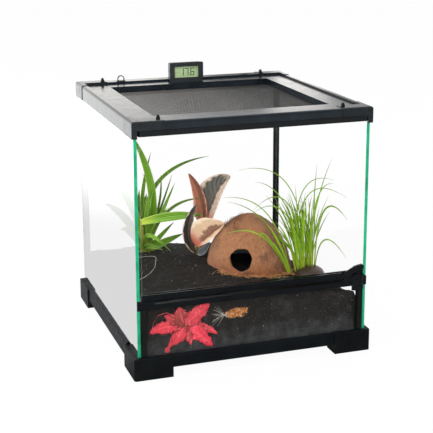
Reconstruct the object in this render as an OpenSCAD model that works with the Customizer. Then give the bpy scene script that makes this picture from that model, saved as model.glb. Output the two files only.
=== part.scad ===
// Front-opening glass terrarium: a framed glass tank with a hinged door, a lift-off
// mesh lid with a thermometer on it, and a planted floor with a coconut hide.
// X runs to the right of someone facing the door, Y runs back from the door, Z is up.
// The origin is the centre of the footprint, on the surface that the feet stand on.

/* [Overall] */
// Width over the corner feet
base_w = 300; // [284:1:330]
// Depth over the corner feet
base_d = 306; // [290:1:336]
// Height of the top frame above the floor
frame_top = 306; // [296:1:340]

/* [Glass] */
// Thickness of every pane
glass_t = 4; // [3:0.5:5]
// Black silicone left between bonded panes
bond = 0.5; // [0.3:0.1:0.8]
// Leg of the silicone fillet in the rear corners
fillet_leg = 5; // [3:0.5:7]

/* [Base frame] */
// Length of a foot along the front
foot_w = 47; // [40:1:60]
// Length of a foot along the side
foot_d = 50; // [40:1:60]
// Height of a foot and of the side rails
foot_h = 27; // [25:1:32]
// Clear height under the rails
rail_lift = 11.5; // [8:0.5:13]
// How far the feet stand proud of the rails
foot_proud = 2; // [1:0.25:3]
// Thickness of the base wall outside the glass
rail_wall = 3.5; // [2.5:0.25:4.5]
// Height of the ledge that the panes stand on
seat_z = 18; // [17:0.5:20]
// Width of that ledge, inwards from the glass face
seat_w = 18; // [14:0.5:24]
// Thickness of moulded floors and lips
skin = 3; // [2:0.25:3.5]
// Rise of the sloping rail top towards the glass
rail_rise = 4; // [2:0.5:5]
// Radius of the feet's upright edges
foot_r = 3; // [1:0.5:5]

/* [Vent strip] */
// Height of the strip's underside
vent_z = 84.7; // [79:0.1:87]
// Height of the strip
vent_h = 11.3; // [10.5:0.1:14]
// Depth of the strip, front to back
vent_d = 10; // [9.5:0.25:11]
// Front face of the strip and door rails behind the feet's front
vent_back = 3.7; // [3.5:0.1:4]
// Width of one vent slot
slot_w = 3; // [1.6:0.2:3.2]
// Height of one vent slot
slot_h = 4; // [2:0.25:4.25]
// Spacing of the vent slots
slot_pitch = 4; // [3.6:0.2:6]
// Width of the black edge channels of the lower pane
edge_w = 6.5; // [5:0.25:8]

/* [Door] */
// Height of the door's bottom and top rails
door_rail_h = 6.5; // [6:0.25:8]
// Thickness of the door rails
door_rail_t = 7; // [6.6:0.1:7.4]
// Depth of the groove that holds the door glass
door_groove = 3.5; // [3:0.25:4]
// Gap between the door and what is round it
door_gap = 0.5; // [0.3:0.1:0.8]
// Distance of the hinge axis from the left pane
hinge_in = 5; // [4.6:0.1:6]
// Radius of a hinge pin
pin_r = 1.5; // [1:0.1:1.8]
// Length of a hinge pin outside the door
pin_out = 5; // [3:0.25:5.5]
// Radial running clearance of pins
run_fit = 0.06; // [0.04:0.01:0.1]

/* [Latch] */
// Distance of the bolt from the right pane
bolt_in = 7.5; // [6.5:0.25:9]
// Lever arm from its pivot to the bolt
lever_arm = 16.5; // [15:0.5:18]
// Width of the bolt
bolt_w = 6; // [4:0.25:6.5]
// Thickness of the bolt
bolt_t = 1.8; // [1.4:0.1:2]
// Upward tilt of the released lever, in degrees
lever_tilt = 18; // [17:0.5:20]
// Turn that shoots the bolt, in degrees
lever_turn = 9; // [7:0.5:10]
// Radius of the lever's hub
hub_r = 3.4; // [3:0.1:3.8]
// Radius of the lever's pivot pin
lever_pin_r = 1.2; // [0.8:0.1:1.5]
// Clearance round the sliding bolt
bolt_fit = 0.15; // [0.1:0.05:0.25]

/* [Top frame] */
// How far the top frame is set in from the feet, at the sides
top_in_x = 3; // [2.5:0.1:3.3]
// How far the top frame is set in from the feet, front and back
top_in_y = 2.5; // [2.2:0.1:2.9]
// Height of the frame's side skirts
skirt_h = 19.5; // [19:0.5:22]
// Height of the front beam over the door
beam_h = 10.5; // [10:0.25:12]
// Width of the front and rear beams
beam_w = 19.3; // [18:0.1:20]
// Thickness of the frame over the glass
cap_t = 3; // [2.5:0.25:3.2]
// Thin wall between the side panes and the lid
lid_wall = 1.3; // [1:0.1:2]
// Length of a corner piece along the front
corner_w = 39; // [34:1:44]
// Length of a corner piece along the side
corner_d = 38; // [34:1:44]
// How far the rails sit below the corner pieces
corner_proud = 0.6; // [0.3:0.1:1]
// Radius of the frame's top edges
top_r = 3; // [1:0.25:3.25]
// Width of the ledge under the lid
ledge_w = 11; // [9:0.5:13]
// Thickness of the ledge under the lid
ledge_t = 2.8; // [2:0.2:3.4]

/* [Lid] */
// Depth of the lid's top below the top of the corners
lid_drop = 3; // [2.5:0.25:4]
// Height of the lid's rails
lid_h = 12; // [11:0.25:12.5]
// Gap round the lid
lid_gap = 0.4; // [0.3:0.1:0.8]
// Width of the lid's side rails
lid_side_w = 28.8; // [25:0.2:32]
// Width of the lid's front and rear rails
lid_end_w = 26; // [23:0.5:30]
// Length of the side rails' joint from the lid's ends
lid_joint = 29; // [27:0.5:34]
// Thickness of the lid's walls
lid_skin = 2.5; // [2:0.1:3]
// Thickness of the woven mesh
mesh_t = 1; // [0.6:0.1:1.4]
// Openings along each side of the mesh, which stand for its weave
mesh_cells = 11; // [8:1:12]
// Width of the bars between those openings
mesh_bar = 2.4; // [1.6:0.2:4]
// Thickness of the frame that clamps the mesh
retainer_t = 2.8; // [2:0.1:3]
// Width of the frame that clamps the mesh
retainer_w = 14; // [10:0.5:16]

/* [Lid clips and inlets] */
// Distance of the clips from the frame's sides
clip_in = 34; // [29:0.5:36]
// Width of a clip's tongue
clip_w = 8; // [6:0.5:10]
// Travel of a clip
clip_travel = 5; // [3:0.5:6]
// Length of a clip's tongue
clip_len = 8; // [7:0.25:9]
// Height of a clip's thumb nub above the frame
nub_h = 4.5; // [4:0.25:7]
// Distance of the cable inlets from the frame's sides
inlet_in = 59; // [55:1:77]
// Width of a cable inlet
inlet_w = 12; // [8:0.5:14]
// Depth of a cable inlet, front to back
inlet_d = 5; // [4.6:0.2:6.4]
// Height of an inlet gate's plate
gate_h = 8; // [6:0.25:8.5]
// How far the left gate is pulled up
gate_lift = 7; // [5:0.25:7.5]

/* [Meter] */
// Width of the meter's bezel
meter_w = 47; // [44:0.5:52]
// Height of the meter's bezel
meter_h = 26.2; // [26:0.2:31]
// Depth of the meter's case behind the bezel
meter_d = 11; // [10.5:0.25:12]
// Place of the meter along the lid
meter_x = -1.5; // [-20:0.5:20]
// Width of the display window
window_w = 33.5; // [28:0.5:35]
// Height of the display window
window_h = 15; // [13:0.5:17]

/* [Planting] */
// Height of the substrate at the front
soil_h = 92; // [84:1:96]
// Fall of the substrate towards the rear pane
soil_fall = 24; // [12:1:30]
// Outer radius of the coconut hide
hide_r = 54; // [46:1:56]
// Height of the coconut hide
hide_h = 76; // [68:1:80]
// Depth that the hide is let into the substrate
hide_sunk = 13; // [10:1:16]
// Thickness of the coconut shell
hide_t = 5; // [4:0.25:7]
// Radius of the doorway in the hide
hide_hole_r = 14; // [10:0.5:16]
// Height of the doorway's centre above the hide's foot
hide_hole_z = 28.5; // [26:0.5:32]
// Thickness of the leaves
leaf_t = 1; // [0.8:0.1:1.2]
// Radius of the stone-like foot of the grass plant
stone_r = 21; // [18:0.5:24]
// Height of that foot
stone_h = 15; // [12:0.5:18]

/* [Hidden] */
$fn = 48;

// Reach of a cut beyond the face that it opens
eps = 0.5;

// Glass tank
glass_x = base_w / 2 - foot_proud - rail_wall;
glass_y = base_d / 2 - foot_proud - rail_wall;
inner_x = glass_x - glass_t;
inner_y = glass_y - glass_t;
floor_z = seat_z + glass_t;
front_rail_top = foot_h - foot_proud;
front_rise = foot_proud;

// Front of the tank
vent_top = vent_z + vent_h;
vent_front = -base_d / 2 + vent_back;
pane_top_cover = 4.6;
slot_rim = 1;
lower_pane_top = vent_z + pane_top_cover;
slot_z = vent_top - slot_rim - slot_h;
first_slot = -inner_x + 17.5;
last_slot = inner_x - 26.5;
edge_gap = 0.2;
edge_lap = 3;
lower_pane_x = inner_x - edge_w + edge_lap;
edge_t = 2;

// Door
hinge_x = -inner_x + hinge_in;
hinge_y = vent_front + door_rail_t / 2;
door_right = inner_x - door_gap - 1;
door_z0 = vent_top + door_gap;
door_z1 = frame_top - beam_h - door_gap;
door_glass_z0 = door_z0 + door_rail_h - door_groove;
door_glass_z1 = door_z1 - door_rail_h + door_groove;

// Latch
latch_front = -base_d / 2 + 0.1;
bolt_x = inner_x - bolt_in;
pivot_x = bolt_x - lever_arm;
pivot_z = door_z0 + door_rail_h - 1;
plate_t = 0.8;
lever_t = 2.3;
lever_back = latch_front + lever_t;
blade_back = vent_front - 0.3;
blade_len = lever_arm + 7.5;
blade_drop = 2.3;
blade_low = 2.4;
tip_r = 1.2;
blade_rise = 4.7;
grip_from = lever_arm - 5;
shield_t = 1.2;
housing_x0 = bolt_x - bolt_w / 2 - 4;
housing_z0 = door_z0 + 0.1;
housing_h = 3.2;
bolt_z0 = vent_top + 0.4;
bolt_top = pivot_z + (lever_arm - bolt_w / 2) * tan(lever_tilt) - blade_drop / cos(lever_tilt) - 0.4;
bolt_drop = lever_arm * lever_turn * PI / 180;
bolt_y0 = vent_front - bolt_fit - bolt_t;
keeper_half = 8;
keeper_rim = 1.2;
keeper_lip = 5.5;

// Top frame
top_x = base_w / 2 - top_in_x;
top_y = base_d / 2 - top_in_y;
skirt_z = frame_top - skirt_h;
pane_top = frame_top - cap_t;
beam_z = frame_top - beam_h;
lid_x = inner_x - lid_wall;
lid_y = top_y - beam_w;
lid_top = frame_top - lid_drop;
lid_z = lid_top - lid_h;
ledge_z = lid_z - 0.2 - ledge_t;
door_pocket_y = vent_front + door_rail_t + 1;
corner_x = top_x - corner_w;
corner_y = top_y - corner_d;
clip_x = top_x - clip_in;
inlet_x = top_x - inlet_in;

// Lid
lid_out_x = lid_x - lid_gap;
lid_out_y = lid_y - lid_gap;
hole_x = lid_out_x - lid_side_w;
hole_y = lid_out_y - lid_end_w;
joint_y = lid_out_y - lid_joint;
mesh_z = lid_z + 0.2 + retainer_t;
retainer_lap = 1;

// Clips and inlets
clip_t = 1.5;
clip_fit = 0.15;
clip_z = lid_top + 0.3;
nub_w = 5;
nub_tip = 2.4;
nub_t = 2.6;
slot_play = 0.2;
gate_t = 3;
gate_loop_r = 4.8;
gate_wire = 0.8;
gate_z = ledge_z + ledge_t + 0.3;
inlet_y = lid_y + 2.6;
gate_fit = 0.2;
shoulder = 1.4;

// Meter
bezel_t = 2;
meter_front = lid_out_y - meter_d - bezel_t - 1.8;
case_edge = 1.2;
case_wall = 1.6;
board_t = 1.6;
display_t = 1.2;
cell_r = 5.8;
cell_h = 5.4;
meter_mid_z = lid_top + meter_h / 2;

// Planting
soil_gap = 0.2;
soil_front = -inner_y + soil_gap;
soil_x = inner_x - soil_gap;
soil_back = inner_y - soil_gap - bond;
soil_cells = 16;
soil_low = floor_z + 6;
rear_from = 20;
east_run = 170;
east_fall = 16;
right_run = 100;
right_from = -60;
right_back = 160;
right_deep = 0.37 * soil_h;
corner_run = 9.5;
corner_fall = 12;
pit_run = 22.5;
pit_edge = 12;
pit_back = 60;
pit_fall = 14;
strap_in = 65.5;
strap_at = [-inner_x + strap_in, 75];
stone_in = 42.3;
grass_at = [inner_x - stone_in, -78];
hide_to_stone = 65.2;
hide_at = [grass_at[0] - hide_to_stone, -36];
hide_pad_z = soil_h - hide_sunk;
rubber_to_hide = 53;
rubber_at = [hide_at[0] - rubber_to_hide, 12];
core_gap = 1.5;
stone_sunk = 3;
plug_w = 31;
plug_h = 14;
plug_t = 10;
plug_drop = 19.4;
plug_at = [-22, vent_z - plug_drop];
plug_y = -inner_y + 0.3;
crown_r = 9;
crown_depth = 8;
red_in = 55;
red_gap = 2.4;
red_drop = 27.1;
red_at = [-inner_x + red_in, -inner_y + red_gap, vent_z - red_drop];
red_span = 57.7;
red_scale = (vent_z - front_rail_top - front_rise) / red_span;
red_pocket = 5.5;
red_reach = 47;

// Leaves: tip and bend point from the crown, then the blade's full width
strap_leaves = [
  [[-10, -10, 157], [29, -5, 85], 9], [[12, 5, 136], [-12, 2, 66], 6],
  [[1, 12, 106], [25, 6, 76], 3], [[88, -10, 128], [-14, -3, 119], 5],
  [[26, 10, 103], [29, 5, 61], 3], [[41, 6, 103], [21, 3, 48], 3],
  [[42, -4, 94], [18, -2, 41], 5], [[61, -66, 86], [13, -33, 83], 4],
  [[61, -66, 64], [-3, -27, 63], 10], [[35, -20, 44], [9, -10, 16], 6],
  [[23, -48, 12], [-14, -24, 55], 5], [[14, -40, 13], [-8, -20, 22], 6],
  [[60, 18, 15], [18, 9, 6], 9], [[-8, -6, 89], [-10, -3, 60], 6],
  [[6, 8, 79], [-5, 4, 56], 7], [[9, -10, 88], [0, -5, 63], 7],
  [[28, -14, 63], [7, -7, 31], 6], [[-50, -20, 110], [-15, -5, 80], 9],
  [[-52, 10, 70], [-25, 0, 60], 10], [[-40, 30, 118], [-12, 10, 70], 8],
  [[-45, -50, 50], [-25, -25, 46], 9]];

// The same, with the start of the blade to the right of the crown's centre
grass_blades = [
  [[-82, 24, 127], [1, 8, 145], 2.2, -3], [[-62, 20, 111], [-21, 6, 110], 2.2, -3],
  [[-109, 8, 98], [-42, -4, 104], 2.4, -7], [[-100, 16, 90], [-46, 4, 81], 2.4, -7],
  [[-67, 12, 78], [-13, 6, 131], 2.4, -6], [[-75, -4, 78], [-21, -2, 111], 2.4, -7],
  [[-49, 18, 94], [-19, 7, 60], 2.4, -7], [[14, 4, 131], [8, 2, 74], 2.6, 7],
  [[30, -6, 140], [4, -3, 80], 2.6, 4], [[30, -14, 114], [-23, 15, 132], 2.2, -7],
  [[41, -26, 94], [-22, 1, 140], 2.2, -7], [[27, -18, 111], [1, -7, 115], 2.6, 4],
  [[39, -34, 68], [9, -11, 119], 4, 7], [[39, -34, 18], [11, -15, 69], 3, 7],
  [[-117, -10, 55], [-62, -11, 78], 3, -7], [[-68, -12, 39], [-70, -12, 83], 2.6, -7],
  [[-67, -12, 54], [-45, -12, 34], 5, -7], [[-56, -6, 64], [-40, -5, 44], 4, -7],
  [[-54, -11, 45], [-40, -10, 28], 5, -7], [[-32, 6, 86], [-18, 3, 58], 3, -7],
  [[-23, 12, 92], [-11, 6, 59], 3, -7], [[-13, 8, 105], [-11, 4, 61], 3, -5],
  [[-4, -6, 92], [-8, -3, 56], 4, -2], [[5, 4, 83], [2, 2, 48], 4, 2],
  [[9, -4, 90], [5, -2, 54], 3, 4], [[-41, 2, 62], [-21, 1, 42], 4, -7],
  [[-27, -8, 72], [-15, -4, 46], 4, -7], [[-6, 2, 79], [-7, 1, 45], 5, -6],
  [[4, -8, 70], [2, -4, 43], 5, 7], [[-12, 10, 62], [-8, 5, 37], 4, -7]];

// Stalked leaves: foot of the blade, its tip and bend point from the crown, full width
rubber_leaves = [
  [[6, 2, 30], [-10, 6, 108], [11, 4, 76], 16], [[12, 1, 34], [46, 4, 100], [14, 3, 84], 33],
  [[-12, -30, 22], [21, -42, 50], [-5, -36, 47], 24], [[-5, -6, 4], [-3, -4, 69], [-27, -7, 34], 14],
  [[-4, -10, 4], [7, -27, 24], [1, -18, 8], 9], [[3, 6, 10], [22, 30, 34], [14, 20, 32], 16]];
red_leaves = [
  [[30, -1.2, 24], [12, 0.6, 12], 17], [[-7, -1.4, 24], [-6, 0.4, 12], 17],
  [[-25, -1, 15], [-12, 0.6, 10], 13], [[-43, -1.2, -4], [-24, 0.8, 5], 15],
  [[-14, -1.2, -22], [-7, 0.4, -10], 16], [[-22, -0.4, -27], [-15, 1, -16], 8],
  [[8, -0.6, -25], [3, 0.8, -12], 9], [[34, -1.2, -30], [17, 0.2, -10], 17],
  [[40, -0.8, -15], [22, 1, -1], 10]];

function unit(v) = v / norm(v);
function clamp01(v) = max(0, min(1, v));
function bend_at(t, a, b, c) = (1 - t) * (1 - t) * a + 2 * t * (1 - t) * b + t * t * c;
function bend_dir(t, a, b, c) = unit((1 - t) * (b - a) + t * (c - b));

// Surface of the substrate: it falls to the rear and to the right, has a hollow behind
// the right end of the lower pane and never bares the floor pane
function soil_z(x, y) =
  let (in = inner_x - x,
       rear = clamp01((y - rear_from) / (inner_y - rear_from)),
       east = clamp01(1 - in / east_run),
       right = clamp01(1 - in / right_run) * clamp01((y - right_from) / right_back),
       corner = clamp01(1 - in / corner_run),
       pit = clamp01((pit_run - in) / pit_edge) * clamp01((inner_y + y) / pit_edge)
             * clamp01((rear_from - y) / pit_back))
  max(soil_low, soil_h - soil_fall * rear - east_fall * pow(east, 1.2) - right_deep * right
      - corner_fall * corner - pit_fall * pit);

// Surface that the grass plant's foot is seated in
stone_seat_z = soil_z(grass_at[0], grass_at[1]) - stone_sunk;

// Width of a blade along its length, as a share of its full width
function strap_form(t) = (0.6 + 1.2 * t) * (1 - pow(t, 2.2));
function broad_form(t) = 0.1 + 0.9 * pow(sin(180 * pow(t, 0.85)), 0.8);

// Box between two values on each axis
module span(x, y, z) {
  translate([x[0], y[0], z[0]])
    cube([x[1] - x[0], y[1] - y[0], z[1] - z[0]]);
}

// Upright outline with a flat foot and rounded upper corners
module arch_outline(half, z0, z1, r) {
  translate([-half, z0]) square([2 * half, z1 - z0 - r]);
  translate([-half + r, z0]) square([2 * (half - r), z1 - z0]);
  for (side = [-1, 1]) translate([side * (half - r), z1 - r]) circle(r);
}

// Block centred on the origin whose top edges are rounded all round
module soft_block(half_x, half_y, z0, z1, r) {
  intersection() {
    translate([0, half_y, 0]) rotate([90, 0, 0])
      linear_extrude(2 * half_y) arch_outline(half_x, z0, z1, r);
    translate([-half_x, 0, 0]) rotate([90, 0, 90])
      linear_extrude(2 * half_x) arch_outline(half_y, z0, z1, r);
  }
}

// Upright plate with rounded corners about a point in x and z, from y0 backwards
module rounded_plate(at, w, h, r, y0, t) {
  translate([at[0], y0 + t, at[1]]) rotate([90, 0, 0]) linear_extrude(t) {
    square([w - 2 * r, h], center = true);
    square([w, h - 2 * r], center = true);
    for (x = [-1, 1]) for (z = [-1, 1])
      translate([x * (w / 2 - r), z * (h / 2 - r)]) circle(r);
  }
}

// Section across a blade at t: left edge, fold underneath, right edge, fold on top
function blade_section(t, from, via, to, width, face, fold, broad) =
  let (p = bend_at(t, from, via, to), d = bend_dir(t, from, via, to),
       s = unit(cross(d, face)), n = cross(s, d),
       half = max(0.15, width / 2 * (broad ? broad_form(t) : strap_form(t))))
  [p - s * half, p - n * (fold * half + leaf_t / 2),
   p + s * half, p - n * (fold * half - leaf_t / 2)];

// Convex block through eight corners, given as two loops of four
module corner_block(low, high) {
  hull() polyhedron(concat(low, high), [[0, 1, 2, 3], [7, 6, 5, 4], [0, 4, 5, 1],
                                        [1, 5, 6, 2], [2, 6, 7, 3], [3, 7, 4, 0]]);
}

// Curved leaf: a thin folded blade swept from a point through a bend to a tip.
// The blade shows its flat side towards face.
module leaf(from, to, via, width, face, fold, steps, broad) {
  rings = [for (i = [0 : steps])
    blade_section(i / steps, from, via, to, width, face, fold, broad)];
  for (i = [0 : steps - 1]) corner_block(rings[i], rings[i + 1]);
}

// Straight stalk between two points
module stalk(from, to) {
  hull() for (p = [from, to]) translate(p) sphere(r = 1.5, $fn = 8);
}

// Root ball that a plant's leaves grow from, let into the substrate
module crown(at) {
  translate([at[0], at[1], soil_z(at[0], at[1]) - crown_depth])
    cylinder(r = crown_r, h = crown_depth + 2);
}

module crown_recess(at) {
  translate([at[0], at[1], soil_z(at[0], at[1]) - crown_depth])
    cylinder(r = crown_r + soil_gap, h = soil_h);
}

// Base frame

// Section of a base rail: wall outside the glass, ledge under it, inner lip
module rail_section(top, rise) {
  polygon([
    [rail_wall, rail_lift], [rail_wall, top], [0, top + rise], [0, seat_z],
    [-seat_w, seat_z], [-seat_w, rail_lift], [skin - seat_w, rail_lift],
    [skin - seat_w, seat_z - skin - 1], [rail_wall - skin, seat_z - skin - 1],
    [rail_wall - skin, rail_lift]]);
}

module base_rail_along_x(side, top, rise) {
  half = base_w / 2 - foot_w;
  translate([0, side * glass_y, 0]) scale([1, side, 1]) translate([-half, 0, 0])
    rotate([90, 0, 90]) linear_extrude(2 * half) rail_section(top, rise);
}

module base_rail_along_y(side) {
  half = base_d / 2 - foot_d;
  translate([side * glass_x, 0, 0]) scale([side, 1, 1]) translate([0, half, 0])
    rotate([90, 0, 0]) linear_extrude(2 * half) rail_section(foot_h, rail_rise);
}

module base_rail_front() { color("#22282c") base_rail_along_x(-1, front_rail_top, front_rise); }
module base_rail_rear() { color("#22282c") base_rail_along_x(1, foot_h, rail_rise); }
module base_rail_left() { color("#22282c") base_rail_along_y(-1); }
module base_rail_right() { color("#22282c") base_rail_along_y(1); }

// Corner foot: an angle block round the glass, hollow from below
module foot(sx, sy) {
  leg_x = base_w / 2 - (glass_x - seat_w);
  leg_y = base_d / 2 - (glass_y - seat_w);
  color("#1e2327") scale([sx, sy, 1]) difference() {
    intersection() {
      soft_block(base_w / 2, base_d / 2, 0, foot_h, 1);
      linear_extrude(foot_h) difference() {
        union() {
          translate([base_w / 2 - foot_w, base_d / 2 - foot_d]) square([foot_w - foot_r, foot_d]);
          translate([base_w / 2 - foot_w, base_d / 2 - foot_d]) square([foot_w, foot_d - foot_r]);
          translate([base_w / 2 - foot_r, base_d / 2 - foot_r]) circle(foot_r);
        }
        translate([base_w / 2 - foot_w - eps, base_d / 2 - foot_d - eps])
          square([foot_w - leg_x + eps, foot_d - leg_y + eps]);
      }
    }
    span([0, glass_x], [0, glass_y], [seat_z, foot_h + eps]);
    span([base_w / 2 - foot_w + skin, base_w / 2 - skin],
         [base_d / 2 - leg_y + skin, base_d / 2 - skin], [-eps, seat_z - skin - 4]);
    span([base_w / 2 - leg_x + skin, base_w / 2 - skin],
         [base_d / 2 - foot_d + skin, base_d / 2 - leg_y + skin + eps],
         [-eps, seat_z - skin - 4]);
  }
}

module foot_front_left() { foot(-1, -1); }
module foot_front_right() { foot(1, -1); }
module foot_rear_left() { foot(-1, 1); }
module foot_rear_right() { foot(1, 1); }

// Glass

module pane_bottom() {
  color([0.75, 0.9, 0.85, 0.35])
    span([-inner_x + bond, inner_x - bond], [-inner_y + bond, inner_y - bond], [seat_z, floor_z]);
}

module side_pane(side) {
  color([0.75, 0.9, 0.85, 0.35])
    scale([side, 1, 1]) span([inner_x, glass_x], [-glass_y, inner_y - bond], [seat_z, pane_top]);
}

module pane_left() { side_pane(-1); }
module pane_right() { side_pane(1); }

module pane_rear() {
  color([0.75, 0.9, 0.85, 0.35])
    span([-glass_x, glass_x], [inner_y, glass_y], [seat_z, pane_top]);
}

// The lower front pane stands on the base ledge and ends inside the vent strip
module pane_front_lower() {
  color([0.75, 0.9, 0.85, 0.35])
    span([-lower_pane_x, lower_pane_x], [-glass_y, -inner_y], [seat_z, lower_pane_top]);
}

// Black silicone: the joint behind each side pane and the fillet inside it
module rear_corner_seals() {
  color("#0c0d0e") for (side = [-1, 1]) scale([side, 1, 1]) {
    span([inner_x, glass_x], [inner_y - bond, inner_y], [floor_z, pane_top]);
    translate([0, 0, floor_z]) linear_extrude(ledge_z - 0.1 - floor_z)
      polygon([[inner_x, inner_y], [inner_x - fillet_leg, inner_y],
               [inner_x - fillet_leg * 0.4, inner_y - fillet_leg * 0.4],
               [inner_x, inner_y - fillet_leg]]);
  }
}

module front_edge_channels() {
  color("#0c0d0e") for (side = [-1, 1]) scale([side, 1, 1]) difference() {
    span([inner_x - edge_w, inner_x], [-glass_y - 0.8, -inner_y + edge_t],
         [front_rail_top + front_rise + edge_gap, vent_z - edge_gap]);
    span([inner_x - edge_w - eps, lower_pane_x], [-glass_y, -inner_y], [0, vent_z]);
  }
}

// Vent strip over the lower pane, with the slots, the lower hinge socket and the
// pocket of the latch keeper
module vent_strip() {
  slots = floor((last_slot - first_slot) / slot_pitch);
  color("#262d31") difference() {
    union() {
      span([-inner_x, inner_x], [vent_front, vent_front + vent_d], [vent_z, vent_top]);
      for (side = [-1, 1]) scale([side, 1, 1])
        span([inner_x - eps, glass_x], [vent_front, -glass_y], [vent_z, vent_top]);
    }
    span([-lower_pane_x, lower_pane_x], [-glass_y, -inner_y], [vent_z - eps, lower_pane_top]);
    for (i = [0 : slots])
      translate([first_slot + i * slot_pitch, vent_front - eps, slot_z])
        cube([slot_w, vent_d + 2 * eps, slot_h]);
    translate([hinge_x, hinge_y, vent_top - pin_out - door_gap])
      cylinder(r = pin_r + run_fit, h = pin_out + 2);
  }
}

// Keeper on the strip's right end: a barrel-fronted boss with the bolt's socket
module keeper_slab(front, z0, z1) {
  sag = vent_front - front;
  r = (keeper_half * keeper_half + sag * sag) / (2 * sag);
  intersection() {
    translate([bolt_x, front + r, z0]) cylinder(r = r, h = z1 - z0, $fn = 96);
    span([bolt_x - keeper_half, bolt_x + keeper_half],
         [front - eps, vent_front], [z0 - eps, z1 + eps]);
  }
}

module latch_keeper() {
  color("#262d31") difference() {
    union() {
      keeper_slab(latch_front, vent_z - keeper_lip, vent_z - keeper_lip + keeper_rim);
      keeper_slab(latch_front + 0.5, vent_z - keeper_lip, vent_top);
      keeper_slab(latch_front, vent_top - 2 * keeper_rim, vent_top);
    }
    span([bolt_x - bolt_w / 2 - bolt_fit, bolt_x + bolt_w / 2 + bolt_fit],
         [bolt_y0 - bolt_fit, vent_front + eps], [bolt_z0 - bolt_drop - 0.6, vent_top + eps]);
  }
}

// Top frame

// Whole frame as one ring; drop lowers and narrows its outside
module top_ring(drop) {
  difference() {
    soft_block(top_x - drop, top_y - drop, skirt_z, frame_top - drop, top_r);
    // Well for the lid, and the way down through the ledge
    span([-lid_x, lid_x], [-lid_y, lid_y], [ledge_z + ledge_t, frame_top + eps]);
    span([-lid_x + ledge_w, lid_x - ledge_w], [-lid_y + ledge_w, lid_y - ledge_w],
         [skirt_z - eps, frame_top]);
    span([-inner_x, inner_x], [-inner_y, inner_y], [skirt_z - eps, ledge_z]);
    // Slots for the panes
    for (side = [-1, 1]) scale([side, 1, 1])
      span([inner_x, glass_x], [-glass_y, inner_y + eps], [skirt_z - eps, pane_top]);
    span([-glass_x, glass_x], [inner_y, glass_y], [skirt_z - eps, pane_top]);
    // Room for the door's top rail
    span([-inner_x, inner_x], [-top_y - eps, door_pocket_y], [skirt_z - eps, beam_z]);
    // Socket of the upper hinge pin
    translate([hinge_x, hinge_y, beam_z - 1])
      cylinder(r = pin_r + run_fit, h = 1 + pin_out - door_gap + 0.5);
    for (sx = [-1, 1]) {
      for (sy = [-1, 1]) clip_pocket(sx, sy);
      inlet_cut(sx);
    }
  }
}

// Flat pocket for a clip's tongue and the slot that its nub moves in
module clip_pocket(sx, sy) {
  scale([sx, sy, 1]) {
    span([clip_x - clip_w / 2 - clip_fit, clip_x + clip_w / 2 + clip_fit],
         [lid_y - eps, lid_y + clip_len + 1],
         [clip_z - clip_fit, clip_z + clip_t + clip_fit]);
    span([clip_x - nub_w / 2 - slot_play, clip_x + nub_w / 2 + slot_play],
         [lid_y + clip_len - nub_t - slot_play - clip_travel - 0.4,
          lid_y + clip_len + slot_play],
         [clip_z, frame_top + eps]);
  }
}

// Cable inlet: a shaft for the gate, with a narrower way below its shoulder
module inlet_cut(sx) {
  scale([sx, 1, 1]) {
    span([inlet_x - inlet_w / 2, inlet_x + inlet_w / 2], [inlet_y, inlet_y + inlet_d],
         [gate_z - 0.2, frame_top + eps]);
    span([inlet_x - inlet_w / 2 + shoulder, inlet_x + inlet_w / 2 - shoulder],
         [inlet_y, inlet_y + inlet_d], [skirt_z - eps, frame_top]);
  }
}

module top_rail_x(sy) {
  color("#22282c") intersection() {
    top_ring(corner_proud);
    scale([1, sy, 1]) span([-corner_x, corner_x], [0, base_d], [0, base_d + frame_top]);
  }
}

module top_rail_y(sx) {
  color("#22282c") intersection() {
    top_ring(corner_proud);
    scale([sx, 1, 1]) span([corner_x, base_w], [-corner_y, corner_y], [0, base_d + frame_top]);
  }
}

module top_corner(sx, sy) {
  color("#2e3234") intersection() {
    top_ring(0);
    scale([sx, sy, 1]) span([corner_x, base_w], [corner_y, base_d], [0, base_d + frame_top]);
  }
}

module top_rail_front() { top_rail_x(-1); }
module top_rail_rear() { top_rail_x(1); }
module top_rail_left() { top_rail_y(-1); }
module top_rail_right() { top_rail_y(1); }
module top_corner_front_left() { top_corner(-1, -1); }
module top_corner_front_right() { top_corner(1, -1); }
module top_corner_rear_left() { top_corner(-1, 1); }
module top_corner_rear_right() { top_corner(1, 1); }

// Planting

// Point of the substrate's grid, on the floor pane or on the surface
function grid_point(i, j, on_top) =
  let (x = -soil_x + 2 * soil_x * i / soil_cells,
       y = soil_front + (soil_back - soil_front) * j / soil_cells)
  [x, y, on_top ? soil_z(x, y) : floor_z];

function grid_cell(i, j, on_top) =
  [grid_point(i, j, on_top), grid_point(i + 1, j, on_top),
   grid_point(i + 1, j + 1, on_top), grid_point(i, j + 1, on_top)];

module substrate() {
  color("#2b2825") difference() {
    for (i = [0 : soil_cells - 1]) for (j = [0 : soil_cells - 1])
      corner_block(grid_cell(i, j, false), grid_cell(i, j, true));
    translate([hide_at[0], hide_at[1], hide_pad_z]) difference() {
      cylinder(r = hide_r + soil_gap, h = soil_h);
      translate([0, 0, -eps]) cylinder(r = hide_r - hide_t - core_gap, h = soil_h + 2 * eps);
    }
    crown_recess(strap_at);
    crown_recess(rubber_at);
    translate([grass_at[0], grass_at[1], stone_seat_z])
      cylinder(r = stone_r + soil_gap, h = soil_h);
    span([plug_at[0] - plug_w / 2 - soil_gap, plug_at[0] + plug_w / 2 + soil_gap],
         [-base_d, plug_y + plug_t + soil_gap],
         [plug_at[1] - plug_h / 2 - soil_gap, plug_at[1] + plug_h / 2 + soil_gap]);
    rear_fillet_relief();
    front_relief();
  }
}

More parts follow.
